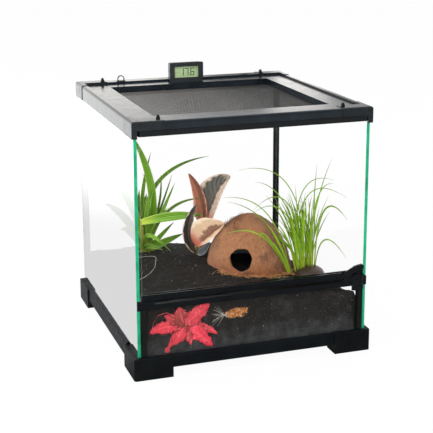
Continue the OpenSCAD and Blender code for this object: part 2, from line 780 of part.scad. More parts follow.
// Keeps the substrate clear of the vent strip and edge channels, and leaves the red
// plant its place behind the lower pane
module front_relief() {
  span([-base_w, base_w], [-base_d, vent_front + vent_d + 2 * soil_gap],
       [vent_z - soil_gap, base_d]);
  for (side = [-1, 1]) scale([side, 1, 1])
    span([inner_x - edge_w - soil_gap, base_w], [-base_d, -inner_y + edge_t + soil_gap],
         [0, base_d]);
  span([red_at[0] - red_reach * red_scale, red_at[0] + red_reach * red_scale],
       [-base_d, -inner_y + red_pocket], [floor_z + 2, vent_z + eps]);
}

// Keeps the substrate clear of the silicone fillets
module rear_fillet_relief() {
  reach = fillet_leg + 2 * soil_gap;
  for (side = [-1, 1]) scale([side, 1, 1]) translate([0, 0, floor_z - eps])
    linear_extrude(soil_h) polygon([
      [inner_x + reach, inner_y + reach], [inner_x - reach, inner_y + reach],
      [inner_x - reach, inner_y], [inner_x, inner_y - reach],
      [inner_x + reach, inner_y - reach]]);
}

// Half coconut with a doorway that faces front left
module hide_profile(r, h) {
  steps = 14;
  polygon(concat([[0, 0]],
    [for (i = [0 : steps]) let (rise = 1 - pow(1 - i / steps, 1.6))
      [r * pow(1 - pow(rise, 2.2), 0.58), h * rise]]));
}

module coconut_hide() {
  doorway_turn = -122;
  color("#8a5f45") translate([hide_at[0], hide_at[1], hide_pad_z]) difference() {
    rotate_extrude($fn = 72) hide_profile(hide_r, hide_h);
    translate([0, 0, -0.01]) rotate_extrude($fn = 72)
      hide_profile(hide_r - hide_t, hide_h - hide_t);
    rotate([0, 0, doorway_turn]) translate([0, 0, hide_hole_z])
      rotate([0, 90, 0]) cylinder(r = hide_hole_r, h = 2 * hide_r);
  }
}

module strap_leaf_plant() {
  foot = [strap_at[0], strap_at[1], soil_z(strap_at[0], strap_at[1])];
  color("#4f8f1d") {
    crown(strap_at);
    for (i = [0 : len(strap_leaves) - 1])
      let (s = strap_leaves[i], start = foot + [3 * cos(40 * i), 3 * sin(40 * i), 0])
      leaf(start, foot + s[0], foot + s[1], s[2], [-0.3, -1, 0.35], 0.25, 8, false);
  }
}

module rubber_leaf_plant() {
  foot = [rubber_at[0], rubber_at[1], soil_z(rubber_at[0], rubber_at[1])];
  color("#a8745c") {
    crown(rubber_at);
    for (i = [0 : len(rubber_leaves) - 1])
      let (s = rubber_leaves[i], start = foot + [2 * cos(60 * i), 2 * sin(60 * i), 0]) {
        stalk(start, foot + s[0]);
        leaf(foot + s[0], foot + s[1], foot + s[2], s[3], [-0.3, -1, 0.3], 0.3, 10, true);
      }
  }
}

module grass_plant_foot() {
  color("#5a4036") translate([grass_at[0], grass_at[1], stone_seat_z]) difference() {
    rotate_extrude() polygon(concat([[0, 0], [stone_r * 0.92, 0]],
      [for (a = [0 : 10 : 90]) [stone_r * cos(a), 4 + (stone_h - 4) * sin(a)]]));
    translate([0, 0, stone_h - 4]) cylinder(r = crown_r, h = 5);
  }
}

module grass_plant() {
  foot = [grass_at[0], grass_at[1], stone_seat_z + stone_h - 1];
  color("#76b41e") {
    translate([foot[0], foot[1], stone_seat_z + stone_h - 4]) cylinder(r = crown_r - 0.1, h = 3.6);
    for (i = [0 : len(grass_blades) - 1])
      let (s = grass_blades[i], start = foot + [s[3], 3 * sin(50 * i), 0])
      leaf(start, foot + s[0], foot + s[1], s[2], [-0.3, -1, 0.35], 0.2, 6, false);
  }
}

// Flat rosette pressed between the lower pane and the substrate
module red_leaf_plant() {
  color("#c8344a") {
    for (s = red_leaves)
      leaf(red_at, red_at + s[0] * red_scale, red_at + s[1] * red_scale,
           s[2] * red_scale, [0, -1, 0], 0.05, 8, true);
    translate(red_at) rotate([-90, 0, 0]) cylinder(r = 2, h = -inner_y + red_pocket - red_at[1]);
  }
}

// Block of matted roots behind the lower pane
module fibre_plug() {
  color("#a4683c") rounded_plate(plug_at, plug_w, plug_h, 3, plug_y, plug_t);
}

// Door

module door_glass() {
  mid = hinge_y;
  color([0.75, 0.9, 0.85, 0.25])
    span([hinge_x - 2, door_right], [mid - glass_t / 2, mid + glass_t / 2],
         [door_glass_z0, door_glass_z1]);
}

// Rail with a round left end about the hinge axis; the groove opens at z_open
module door_rail(z0, z_open) {
  difference() {
    translate([0, 0, z0]) linear_extrude(door_rail_h) {
      translate([hinge_x, hinge_y - door_rail_t / 2])
        square([door_right + 0.5 - hinge_x, door_rail_t]);
      translate([hinge_x, hinge_y]) circle(door_rail_t / 2);
    }
    span([hinge_x - 2, door_right], [hinge_y - glass_t / 2, hinge_y + glass_t / 2],
         [z_open, z_open + door_groove]);
    translate([hinge_x, hinge_y, z0 - eps]) cylinder(r = pin_r, h = door_rail_h + 2 * eps);
  }
}

module door_top_rail() {
  color("#262d31") door_rail(door_z1 - door_rail_h, door_z1 - door_rail_h);
}

// Its right end rises as a shield behind the latch lever
module door_bottom_rail() {
  from = housing_x0 - 1;
  to = door_right + 0.5;
  rise = pivot_z + 1;
  color("#262d31") {
    door_rail(door_z0, door_glass_z0);
    translate([0, vent_front + shield_t, 0]) rotate([90, 0, 0]) linear_extrude(shield_t)
      polygon([[from, pivot_z], [to, pivot_z], [to, rise + (to - pivot_x) * tan(lever_tilt)],
               [from + 1, rise + (from - pivot_x) * tan(lever_tilt)]]);
  }
}

module door_hinge_pins() {
  color("#3a4044") {
    translate([hinge_x, hinge_y, door_z0 - pin_out])
      cylinder(r = pin_r, h = pin_out + door_glass_z0 - door_z0);
    translate([hinge_x, hinge_y, door_glass_z1])
      cylinder(r = pin_r, h = door_z1 - door_glass_z1 + pin_out);
  }
}

// Latch

// Block that guides the bolt, with a thin plate that carries the lever's pivot
module latch_housing() {
  color("#262d31") difference() {
    union() {
      span([housing_x0, door_right + 0.5], [latch_front, vent_front],
           [housing_z0, housing_z0 + housing_h]);
      span([pivot_x - hub_r - 2, housing_x0 + eps], [vent_front - plate_t, vent_front],
           [housing_z0, pivot_z + hub_r]);
    }
    span([bolt_x - bolt_w / 2 - bolt_fit, bolt_x + bolt_w / 2 + bolt_fit],
         [bolt_y0 - bolt_fit, vent_front + eps], [housing_z0 - eps, housing_z0 + housing_h + eps]);
    translate([pivot_x, 0, pivot_z]) rotate([90, 0, 0])
      cylinder(r = lever_pin_r, h = base_d / 2);
  }
}

module latch_pivot_pin() {
  color("#8c9296") translate([pivot_x, vent_front, pivot_z]) rotate([90, 0, 0])
    cylinder(r = lever_pin_r, h = vent_front - latch_front);
}

// Side view of the lever before it is tilted: hub and a smooth lens-shaped blade with a
// rounded tip
module lever_outline() {
  steps = 10;
  top_len = blade_len - 2 * tip_r;
  circle(hub_r);
  polygon(concat(
    [[0, -blade_drop], [blade_len - 2 * tip_r, -blade_drop],
     [blade_len - 0.7 * tip_r, -0.7 * blade_drop], [blade_len, 0.7 * tip_r]],
    [for (i = [steps : -1 : 0]) let (f = i / steps)
      [tip_r + top_len * f, blade_low + (blade_rise - blade_low) * sin(10 + 140 * f)]]));
}

module latch_lever() {
  color("#1f2529") translate([pivot_x, 0, pivot_z]) rotate([0, -lever_tilt, 0]) difference() {
    union() {
      translate([0, lever_back, 0]) rotate([90, 0, 0]) linear_extrude(lever_t) lever_outline();
      intersection() {
        translate([0, blade_back, 0]) rotate([90, 0, 0])
          linear_extrude(blade_back - latch_front) lever_outline();
        span([grip_from, blade_len + 1], [latch_front, blade_back], [0.4, 10]);
      }
    }
    translate([0, latch_front - eps, 0]) rotate([-90, 0, 0])
      cylinder(r = lever_pin_r + run_fit, h = lever_t + 2 * eps);
  }
}

module latch_bolt() {
  color("#3a4044")
    span([bolt_x - bolt_w / 2, bolt_x + bolt_w / 2], [bolt_y0, bolt_y0 + bolt_t],
         [bolt_z0, bolt_top]);
}

// Lid

module lid_ring() {
  rib_x = hole_x + 1 + retainer_w;
  rib_y = hole_y + 1 + retainer_w;
  difference() {
    soft_block(lid_out_x, lid_out_y, lid_z, lid_top, 1.2);
    span([-hole_x, hole_x], [-hole_y, hole_y], [lid_z - eps, lid_top + eps]);
    // Bed of the mesh and its clamping frame
    span([-rib_x, rib_x], [-rib_y, rib_y], [lid_z - eps, mesh_z + mesh_t]);
    // Hollow between the inner wall and the rib, then between the rib and the outer wall
    hollow(hole_x + lid_skin, hole_y + lid_skin, rib_x, rib_y);
    hollow(rib_x + 2, rib_y + 2, lid_out_x - lid_skin, lid_out_y - lid_skin);
  }
}

module hollow(in_x, in_y, out_x, out_y) {
  difference() {
    span([-out_x, out_x], [-out_y, out_y], [lid_z - eps, lid_top - lid_skin]);
    span([-in_x, in_x], [-in_y, in_y], [lid_z - 2 * eps, lid_top]);
  }
}

module lid_end(sy) {
  color("#22282c") intersection() {
    lid_ring();
    scale([1, sy, 1]) span([-base_w, base_w], [joint_y, base_d], [0, frame_top]);
  }
}

module lid_side(sx) {
  color("#22282c") intersection() {
    lid_ring();
    scale([sx, 1, 1]) span([0, base_w], [-joint_y, joint_y], [0, frame_top]);
  }
}

module lid_front() { lid_end(-1); }
module lid_rear() { lid_end(1); }
module lid_rail_left() { lid_side(-1); }
module lid_rail_right() { lid_side(1); }

// Sheet with a plain grid of openings over the lid's hole
module lid_mesh() {
  half_x = hole_x + retainer_w;
  half_y = hole_y + retainer_w;
  step_x = 2 * (hole_x - retainer_lap) / mesh_cells;
  step_y = 2 * (hole_y - retainer_lap) / mesh_cells;
  color("#94918a") translate([0, 0, mesh_z]) linear_extrude(mesh_t) difference() {
    square([2 * half_x, 2 * half_y], center = true);
    for (i = [0 : mesh_cells - 1]) for (j = [0 : mesh_cells - 1])
      translate([(i + 0.5 - mesh_cells / 2) * step_x, (j + 0.5 - mesh_cells / 2) * step_y])
        square([step_x - mesh_bar, step_y - mesh_bar], center = true);
  }
}

module mesh_retainer() {
  out_x = hole_x + 1 + retainer_w;
  out_y = hole_y + 1 + retainer_w;
  color("#22282c") difference() {
    span([-out_x, out_x], [-out_y, out_y], [mesh_z - retainer_t, mesh_z]);
    span([-hole_x - retainer_lap, hole_x + retainer_lap],
         [-hole_y - retainer_lap, hole_y + retainer_lap], [mesh_z - retainer_t - eps, mesh_z + eps]);
  }
}

// Meter

module upright_plate(w, h, r, y0, t) {
  rounded_plate([meter_x, meter_mid_z], w, h, r, y0, t);
}

module meter_bezel() {
  color("#3c404b") difference() {
    upright_plate(meter_w, meter_h, 2, meter_front, bezel_t);
    upright_plate(window_w, window_h, 0.8, meter_front - eps, bezel_t + 2 * eps);
  }
}

module meter_case() {
  back = meter_front + bezel_t;
  w = meter_w - 2 * case_edge;
  h = meter_h - 2 * case_edge;
  color("#2c2f38") {
    difference() {
      upright_plate(w, h, 1.5, back, meter_d);
      upright_plate(w - 2 * case_wall, h - 2 * case_wall, 0.5, back - eps,
                    meter_d - case_wall + eps);
    }
    // Foot rib, and a spring clip on each side
    span([meter_x - w / 2 + 4, meter_x + w / 2 - 4], [back + 1, back + meter_d],
         [lid_top, lid_top + case_edge + 0.01]);
    for (side = [-1, 1])
      translate([meter_x + side * (w / 2 + 0.6), back + 3, meter_mid_z + 1])
        cube([1.3, 4, 5], center = true);
  }
}

module meter_display() {
  color("#b4cda0")
    upright_plate(window_w + 2, window_h + 2, 0.5, meter_front + bezel_t, display_t);
}

module meter_board() {
  color("#2f6b3c")
    upright_plate(meter_w - 8, meter_h - 8, 0.5, meter_front + bezel_t + display_t, board_t);
}

module meter_cells() {
  y = meter_front + bezel_t + display_t + board_t;
  color("#b9bcc0") for (side = [-1, 1])
    translate([meter_x + side * (cell_r + 1), y, meter_mid_z]) rotate([-90, 0, 0])
      cylinder(r = cell_r, h = cell_h);
}

// Clips and inlet gates

// Sliding clip: a flat tongue inside the frame and an upright nub for the thumb
module lid_clip(sx, sy) {
  color("#181b1d") scale([sx, sy, 1]) {
    span([clip_x - clip_w / 2, clip_x + clip_w / 2], [lid_y + 0.2, lid_y + clip_len],
         [clip_z, clip_z + clip_t]);
    translate([clip_x, lid_y + clip_len, 0]) rotate([90, 0, 0]) linear_extrude(nub_t)
      polygon([[-nub_w / 2, clip_z + clip_t / 2], [nub_w / 2, clip_z + clip_t / 2],
               [nub_w / 2, frame_top], [nub_tip / 2, frame_top + nub_h],
               [-nub_tip / 2, frame_top + nub_h], [-nub_w / 2, frame_top]]);
  }
}

module lid_clip_front_left() { lid_clip(-1, -1); }
module lid_clip_front_right() { lid_clip(1, -1); }
module lid_clip_rear_left() { lid_clip(-1, 1); }
module lid_clip_rear_right() { lid_clip(1, 1); }

// Gate of a cable inlet: a plate with a finger loop on its upper edge
module inlet_gate(sx, lift) {
  y = inlet_y + (inlet_d - gate_t) / 2;
  half = inlet_w / 2 - gate_fit;
  color("#1b1f21") translate([sx * inlet_x, y, gate_z + lift]) {
    translate([-half, 0, 0]) cube([2 * half, gate_t, gate_h]);
    translate([0, gate_t / 2 + gate_wire, gate_h - 0.4]) rotate([90, 0, 0])
      linear_extrude(2 * gate_wire) intersection() {
        difference() {
          translate([0, gate_loop_r * 0.55]) circle(gate_loop_r);
          translate([0, gate_loop_r * 0.55]) circle(gate_loop_r - 1.4 * gate_wire);
        }
        translate([-inlet_w, 0]) square([2 * inlet_w, 3 * gate_loop_r]);
      }
  }
}

module inlet_gate_left() { inlet_gate(-1, gate_lift); }
module inlet_gate_right() { inlet_gate(1, 0); }

base_rail_front();
base_rail_rear();
base_rail_left();
base_rail_right();
foot_front_left();
foot_front_right();
foot_rear_left();
foot_rear_right();
pane_bottom();
pane_left();
pane_right();
pane_rear();
pane_front_lower();
rear_corner_seals();
front_edge_channels();
vent_strip();
latch_keeper();
top_rail_front();
top_rail_rear();
top_rail_left();
top_rail_right();
top_corner_front_left();
top_corner_front_right();
top_corner_rear_left();
top_corner_rear_right();
substrate();
coconut_hide();
strap_leaf_plant();
rubber_leaf_plant();
grass_plant();
grass_plant_foot();
red_leaf_plant();
fibre_plug();
door_glass();
door_top_rail();
door_bottom_rail();
door_hinge_pins();
latch_housing();
latch_pivot_pin();
latch_lever();
latch_bolt();
lid_front();
lid_rear();
lid_rail_left();
lid_rail_right();
lid_mesh();
mesh_retainer();
meter_case();
meter_bezel();
meter_display();
meter_board();
meter_cells();
lid_clip_front_left();
lid_clip_front_right();
lid_clip_rear_left();
lid_clip_rear_right();
inlet_gate_left();
inlet_gate_right();
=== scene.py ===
"""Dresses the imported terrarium: glass, moulded frame, woven lid, meter, soil and plants."""

import math
import random

import bmesh
import bpy
from mathutils import Matrix, Vector, noise


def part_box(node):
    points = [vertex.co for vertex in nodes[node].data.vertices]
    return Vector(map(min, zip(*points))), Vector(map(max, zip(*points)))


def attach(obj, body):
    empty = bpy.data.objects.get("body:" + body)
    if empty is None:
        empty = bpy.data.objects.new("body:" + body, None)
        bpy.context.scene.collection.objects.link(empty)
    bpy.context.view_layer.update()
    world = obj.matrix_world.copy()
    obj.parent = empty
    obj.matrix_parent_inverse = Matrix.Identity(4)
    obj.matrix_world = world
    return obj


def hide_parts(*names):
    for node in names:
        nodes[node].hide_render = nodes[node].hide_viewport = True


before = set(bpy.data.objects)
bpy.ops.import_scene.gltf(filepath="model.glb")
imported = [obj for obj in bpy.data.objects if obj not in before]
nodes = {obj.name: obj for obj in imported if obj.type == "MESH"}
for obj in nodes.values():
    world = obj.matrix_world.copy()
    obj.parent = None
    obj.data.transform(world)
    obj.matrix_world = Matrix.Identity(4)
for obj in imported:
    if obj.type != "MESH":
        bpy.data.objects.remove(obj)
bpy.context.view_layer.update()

MM = 0.001
UP = Vector((0, 0, 1))


def low(node):
    """Lowest corner of a CAD node, in millimetres."""
    return Vector(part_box(node)[0]) / MM


def high(node):
    """Highest corner of a CAD node, in millimetres."""
    return Vector(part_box(node)[1]) / MM


# ---------------------------------------------------------------- shader nodes

def linear(color):
    """Linear colour from the 0 to 255 values that a picture shows; four values stay as they are."""
    def one(v):
        v /= 255
        return v / 12.92 if v <= 0.04045 else ((v + 0.055) / 1.055) ** 2.4
    return tuple(one(v) for v in color) + (1.0,) if len(color) == 3 else color


class Nodes:
    """Short calls that make nodes in one shader tree and join them."""

    def __init__(self, tree, material=None):
        self.tree = tree
        self.material = material

    def node(self, kind, **settings):
        made = self.tree.nodes.new(kind)
        for key, value in settings.items():
            setattr(made, key, value)
        return made

    def join(self, output, socket):
        self.tree.links.new(output, socket)

    def feed(self, socket, value):
        """Sets the socket to a number or a colour, or joins an output to it."""
        if isinstance(value, tuple):
            socket.default_value = linear(value)
        elif isinstance(value, (int, float)):
            socket.default_value = value
        else:
            self.join(value, socket)

    def rays(self):
        return self.node("ShaderNodeLightPath").outputs

    def coordinates(self, kind="Object"):
        return self.node("ShaderNodeTexCoord").outputs[kind]

    def split(self, vector):
        """The outputs X, Y and Z of a vector."""
        made = self.node("ShaderNodeSeparateXYZ")
        self.join(vector, made.inputs["Vector"])
        return made.outputs

    def math(self, operation, a, b=0.0, clamp=False):
        made = self.node("ShaderNodeMath", operation=operation, use_clamp=clamp)
        self.feed(made.inputs[0], a)
        self.feed(made.inputs[1], b)
        return made.outputs["Value"]

    def vector_math(self, operation, a, b=None):
        made = self.node("ShaderNodeVectorMath", operation=operation)
        self.join(a, made.inputs[0])
        if b:
            made.inputs[1].default_value = b
        return made.outputs["Value"]

    def ramp(self, factor, *stops):
        """Colours at positions along factor."""
        made = self.node("ShaderNodeValToRGB")
        elements = made.color_ramp.elements
        while len(elements) < len(stops):
            elements.new(0.5)
        for element, (position, color) in zip(elements, stops):
            element.position = position
            element.color = linear(color)
        self.join(factor, made.inputs["Fac"])
        return made.outputs["Color"]

    def step(self, factor, start, end, low_value=0.0, high_value=1.0, curve="SMOOTHSTEP"):
        made = self.node("ShaderNodeMapRange", interpolation_type=curve)
        for socket, value in (("From Min", start), ("From Max", end),
                              ("To Min", low_value), ("To Max", high_value)):
            made.inputs[socket].default_value = value
        self.join(factor, made.inputs["Value"])
        return made.outputs["Result"]

    def mix(self, factor, a, b, blend="MIX"):
        """Mixes two colours."""
        made = self.node("ShaderNodeMix", data_type="RGBA", blend_type=blend)
        for socket, value in ((0, factor), (6, a), (7, b)):
            self.feed(made.inputs[socket], value)
        return made.outputs[2]

    def between(self, factor, a, b):
        """Mixes two numbers."""
        made = self.node("ShaderNodeMix", data_type="FLOAT")
        for socket, value in ((0, factor), (2, a), (3, b)):
            self.feed(made.inputs[socket], value)
        return made.outputs[0]

    def show(self, share, under, over):
        """Makes the surface from two shaders; share is the second one's."""
        made = self.node("ShaderNodeMixShader")
        self.join(share, made.inputs["Fac"])
        self.join(under, made.inputs[1])
        self.join(over, made.inputs[2])
        self.join(made.outputs["Shader"], self.tree.nodes["Material Output"].inputs["Surface"])
        return self.material


def new_material(name):
    """The calls for a new material whose tree holds no shader yet."""
    material = bpy.data.materials.new(name)
    material.use_nodes = True
    tree = material.node_tree
    tree.nodes.remove(tree.nodes["Principled BSDF"])
    return Nodes(tree, material)


# ---------------------------------------------------------------- camera and stage

CAMERA_AT = (-0.4447, -1.3392, 0.5490)
CAMERA_YAW = 0.3218
CAMERA_PITCH = 0.2412
CAMERA_ROLL = -0.004
CAMERA_LENS = 94.23
CAMERA_SHIFT_Y = -0.1
AMBIENT = 0.72
# The room turns from dark to bright along a direction, between two values of it
ROOM_DIRECTION = (-0.35, 0.85, 0.4)
ROOM_EDGES = (-0.6, 0.5)
ROOM_FRONT = 0.12
ROOM_BACK = 1.05
FLOOR_SIZE = 12
FLOOR_DROP = 0.0004
FLOOR_WHITE = 0.9
# What reflections see of the floor: painted shade near the object that grows to a painted glow far round
# it, and dark strips of painted shade in front of it
FLOOR_REACH = (0.5, 1.3)
FLOOR_NEAR = 0.88
FLOOR_FAR = 2.1
FLOOR_FRONT_EDGE = (-0.16, -0.04)
FLOOR_FRONT = 0.1
FLOOR_FRONT_END = (-1.25, -0.95)
FLOOR_BEYOND = 0.4
FLOOR_GLOW = 0.96
CARD_Y = 1.0
CARD_Z = (0.3, 0.53)
# How bright the card is at each x
CARD_STOPS = ((-1.2, 1.0), (0.16, 1.0), (0.34, 0.16), (0.44, 0.16), (0.49, 1.3), (0.57, 1.2),
              (0.63, 0.3), (1.4, 0.3))
CARD_TINT = (1.0, 0.975, 0.94)
CARD_LEVEL = 2.0
# Lamps: where each one stands, what it aims at, its size and its power
LAMPS = {
    "key": ((-1.5, -1.0, 1.7), (0, 0, 0.15), 1.4, 26),
    "back_left": ((-1.9, 1.5, 1.2), (0, 0, 0.2), 2.2, 30),
    "front": ((-0.5, -2.2, 0.9), (0, 0, 0.15), 1.2, 16),
    "fill_right": ((1.9, -0.9, 1.0), (0, 0, 0.15), 1.6, 9)}


def add_camera():
    """Camera at the photograph's view, turned about its own axis by the roll."""
    data = bpy.data.cameras.new("camera")
    data.lens = CAMERA_LENS
    data.sensor_width = 36
    data.shift_y = CAMERA_SHIFT_Y
    data.clip_end = 50
    camera = bpy.data.objects.new("camera", data)
    bpy.context.collection.objects.link(camera)
    level = math.cos(CAMERA_PITCH)
    ahead = Vector((math.sin(CAMERA_YAW) * level, math.cos(CAMERA_YAW) * level, -math.sin(CAMERA_PITCH)))
    right = ahead.cross(UP).normalized()
    roll = Matrix.Rotation(CAMERA_ROLL, 3, -ahead)
    right = roll @ right
    over = right.cross(ahead)
    turn = Matrix((right, over, -ahead)).transposed().to_4x4()
    camera.matrix_world = Matrix.Translation(CAMERA_AT) @ turn
    bpy.context.scene.camera = camera


def add_lamp(name, at, aim, size, watts):
    data = bpy.data.lights.new(name, "AREA")
    data.size = size
    data.energy = watts
    lamp = bpy.data.objects.new(name, data)
    bpy.context.collection.objects.link(lamp)
    lamp.location = at
    lamp.rotation_euler = (Vector(aim) - Vector(at)).to_track_quat("-Z", "Y").to_euler()


def add_world():
    """White to the camera and through glass; reflections see a room that is dark in front."""
    world = bpy.data.worlds.new("studio")
    bpy.context.scene.world = world
    world.use_nodes = True
    n = Nodes(world.node_tree)
    rays = n.rays()
    lean = n.vector_math("DOT_PRODUCT", n.coordinates("Generated"), ROOM_DIRECTION)
    room = n.step(lean, ROOM_EDGES[0], ROOM_EDGES[1], ROOM_FRONT, ROOM_BACK)
    seen = n.math("MAXIMUM", rays["Is Camera Ray"], rays["Is Transmission Ray"])
    level = n.between(seen, n.between(rays["Is Glossy Ray"], AMBIENT, room), 1.0)
    back = n.tree.nodes["Background"]
    back.inputs["Color"].default_value = (1, 1, 1, 1)
    n.join(level, back.inputs["Strength"])


def add_floor():
    """Paper floor: almost white to the camera, with a faint shadow. Reflections see painted shade
    on it near and in front of the object, and a painted glow beyond."""
    n = new_material("floor_paper")
    rays = n.rays()
    spot = n.coordinates()
    across = n.split(spot)["Y"]
    around = n.step(n.vector_math("LENGTH", spot), FLOOR_REACH[0], FLOOR_REACH[1], FLOOR_NEAR, FLOOR_FAR)
    front = n.step(across, FLOOR_FRONT_END[0], FLOOR_FRONT_END[1], FLOOR_BEYOND, FLOOR_FRONT)
    is_front = n.step(across, FLOOR_FRONT_EDGE[0], FLOOR_FRONT_EDGE[1], 1.0, 0.0)
    seen = n.math("ADD", n.math("MULTIPLY", front, is_front),
                  n.math("MULTIPLY", around, n.math("SUBTRACT", 1.0, is_front)))
    diffuse = n.node("ShaderNodeBsdfDiffuse")
    diffuse.inputs["Color"].default_value = (FLOOR_WHITE, FLOOR_WHITE, FLOOR_WHITE, 1)
    glow = n.node("ShaderNodeEmission")
    n.join(n.between(rays["Is Glossy Ray"], 1.0, seen), glow.inputs["Strength"])
    share = n.math("MAXIMUM", n.math("MULTIPLY", rays["Is Camera Ray"], FLOOR_GLOW), rays["Is Glossy Ray"])
    material = n.show(share, diffuse.outputs["BSDF"], glow.outputs["Emission"])
    bpy.ops.mesh.primitive_plane_add(size=FLOOR_SIZE, location=(0, 0, -FLOOR_DROP))
    floor = bpy.context.object
    floor.name = "floor"
    floor.data.materials.append(material)


def add_card():
    """Strip light far behind that only reflections see: bright at the left, dimmer at the right."""
    n = new_material("card_light")
    left, right = CARD_STOPS[0][0], CARD_STOPS[-1][0]
    along = n.step(n.split(n.coordinates())["X"], left, right, curve="LINEAR")
    stops = [((x - left) / (right - left), tuple(level * c for c in CARD_TINT) + (1,))
             for x, level in CARD_STOPS]
    glow = n.node("ShaderNodeEmission")
    n.join(n.ramp(along, *stops), glow.inputs["Color"])
    glow.inputs["Strength"].default_value = CARD_LEVEL
    clear = n.node("ShaderNodeBsdfTransparent")
    material = n.show(n.rays()["Is Glossy Ray"], clear.outputs["BSDF"], glow.outputs["Emission"])
    mesh = bpy.data.meshes.new("card")
    mesh.from_pydata([(left, CARD_Y, CARD_Z[0]), (right, CARD_Y, CARD_Z[0]),
                      (right, CARD_Y, CARD_Z[1]), (left, CARD_Y, CARD_Z[1])], [], [(0, 1, 2, 3)])
    mesh.materials.append(material)
    card = bpy.data.objects.new("card", mesh)
    bpy.context.collection.objects.link(card)


add_camera()
add_world()
add_floor()
add_card()
for lamp_name, lamp_values in LAMPS.items():
    add_lamp(lamp_name, *lamp_values)
bpy.context.scene.view_settings.view_transform = "Standard"


# ---------------------------------------------------------------- materials

class Surface(Nodes):
    """A Principled material, with short calls for the nodes that vary it."""

    def __init__(self, name, color, roughness, **sockets):
        material = bpy.data.materials.new(name)
        material.use_nodes = True
        super().__init__(material.node_tree, material)
        self.shader = self.tree.nodes["Principled BSDF"]
        self.shader.inputs["Base Color"].default_value = linear(color)
        self.shader.inputs["Roughness"].default_value = roughness
        for socket, value in sockets.items():
            self.shader.inputs[socket.replace("_", " ")].default_value = value

    def place(self, stretch=(1, 1, 1), shift=(0, 0, 0)):
        """Position on the object in millimetres, stretched and shifted."""
        mapping = self.node("ShaderNodeMapping")
        mapping.inputs["Scale"].default_value = [s / MM for s in stretch]
        mapping.inputs["Location"].default_value = shift
        self.join(self.coordinates(), mapping.inputs["Vector"])
        return mapping.outputs["Vector"]

    def noise(self, size, detail=4.0, rough=0.55, stretch=(1, 1, 1), where=None):
        """Noise whose features are about size millimetres across."""
        made = self.node("ShaderNodeTexNoise")
        made.inputs["Scale"].default_value = 1 / size
        made.inputs["Detail"].default_value = detail
        made.inputs["Roughness"].default_value = rough
        self.join(where or self.place(stretch), made.inputs["Vector"])
        return made.outputs["Fac"]

    def blade_values(self):
        """What a leaf stores at its points: place along it, place across it, and its tone."""
        return [self.node("ShaderNodeAttribute", attribute_name=name).outputs["Fac"]
                for name in ("along", "across", "tone")]

    def over(self, body, factor, start, end, low_value, high_value, color):
        """The body with a colour laid over it, by how far factor is from start to end."""
        return self.mix(self.step(factor, start, end, low_value, high_value), body, color)

    def color(self, output):
        self.join(output, self.shader.inputs["Base Color"])
        return self

    def roughness(self, factor, smooth, rough):
        self.join(self.step(factor, 0.3, 0.7, smooth, rough), self.shader.inputs["Roughness"])
        return self

    def bump(self, height, depth):
        """Bump of depth millimetres."""
        made = self.node("ShaderNodeBump")
        made.inputs["Strength"].default_value = 1.0
        made.inputs["Distance"].default_value = depth * MM
        self.join(height, made.inputs["Height"])
        self.join(made.outputs["Normal"], self.shader.inputs["Normal"])
        return self


def two_tone(name, base, roughness, specular, tones, spread, fine, depth):
    """Surface that varies from one colour to another, by the noise named by spread, with the
    noise named by fine as its bump; tones gives each colour's place on the ramp."""
    s = Surface(name, base, roughness, Specular_IOR_Level=specular)
    s.color(s.ramp(s.noise(*spread), *tones))
    return s.bump(s.noise(*fine), depth).material


def plain_varied(name, dark, light, size, roughness, depth, specular=0.3):
    """Two mixed tones with a bump: stone, threads, crumbs."""
    return two_tone(name, dark, roughness, specular, ((0.3, dark), (0.72, light)),
                    (size, 5, 0.6), (size / 3, 4), depth)


def moulded_plastic(name, dark, light, smooth, rough, grain=0.6, depth=0.03, specular=0.4):
    """Black moulding with a fine grain and faint handling marks."""
    s = Surface(name, dark, rough, Specular_IOR_Level=specular)
    s.color(s.ramp(s.noise(38, 5, 0.6), (0.35, dark), (0.75, light)))
    s.roughness(s.noise(9, 6, 0.7), smooth, rough)
    return s.bump(s.noise(grain, 3), depth).material


def pane_glass(name, veil=None):
    """Clear pane: straight through, with a reflection by the glass's index or, where veil gives
    its share, by how edge-on the pane is seen."""
    n = new_material(name)
    clear = n.node("ShaderNodeBsdfTransparent")
    gloss = n.node("ShaderNodeBsdfGlossy")
    gloss.inputs["Roughness"].default_value = GLASS_ROUGHNESS
    gloss.inputs["Color"].default_value = (1, 1, 1, 1)
    front = n.math("SUBTRACT", 1.0, n.node("ShaderNodeNewGeometry").outputs["Backfacing"])
    if veil:
        facing = n.node("ShaderNodeLayerWeight").outputs["Facing"]
        amount = n.step(facing, VEIL_FROM, VEIL_FULL, 0.0, veil)
    else:
        fresnel = n.node("ShaderNodeFresnel")
        fresnel.inputs["IOR"].default_value = GLASS_INDEX
        amount = fresnel.outputs["Fac"]
    return n.show(n.math("MULTIPLY", front, amount), clear.outputs["BSDF"], gloss.outputs["BSDF"])


def coated_wire():
    """Grey wire with painted light and shade: lighter at the left, darker towards the right."""
    s = Surface("coated_wire", (132, 129, 123), 0.45, Specular_IOR_Level=0.4)
    along = s.math("DIVIDE", s.math("ADD", s.split(s.place())["X"], LID_HALF), 2 * LID_HALF)
    # Painted light and shade along the lid: pale at the left end, dark at the right end.
    body = s.ramp(along, (0.0, (118, 116, 114)), (0.35, (82, 80, 78)), (0.55, (78, 77, 75)),
                  (0.75, (40, 39, 38)), (1.0, (20, 20, 20)))
    s.color(s.mix(s.math("MULTIPLY", s.noise(40, 3), 0.3), body, (40, 39, 38)))
    return s.bump(s.noise(0.4), 0.02).material


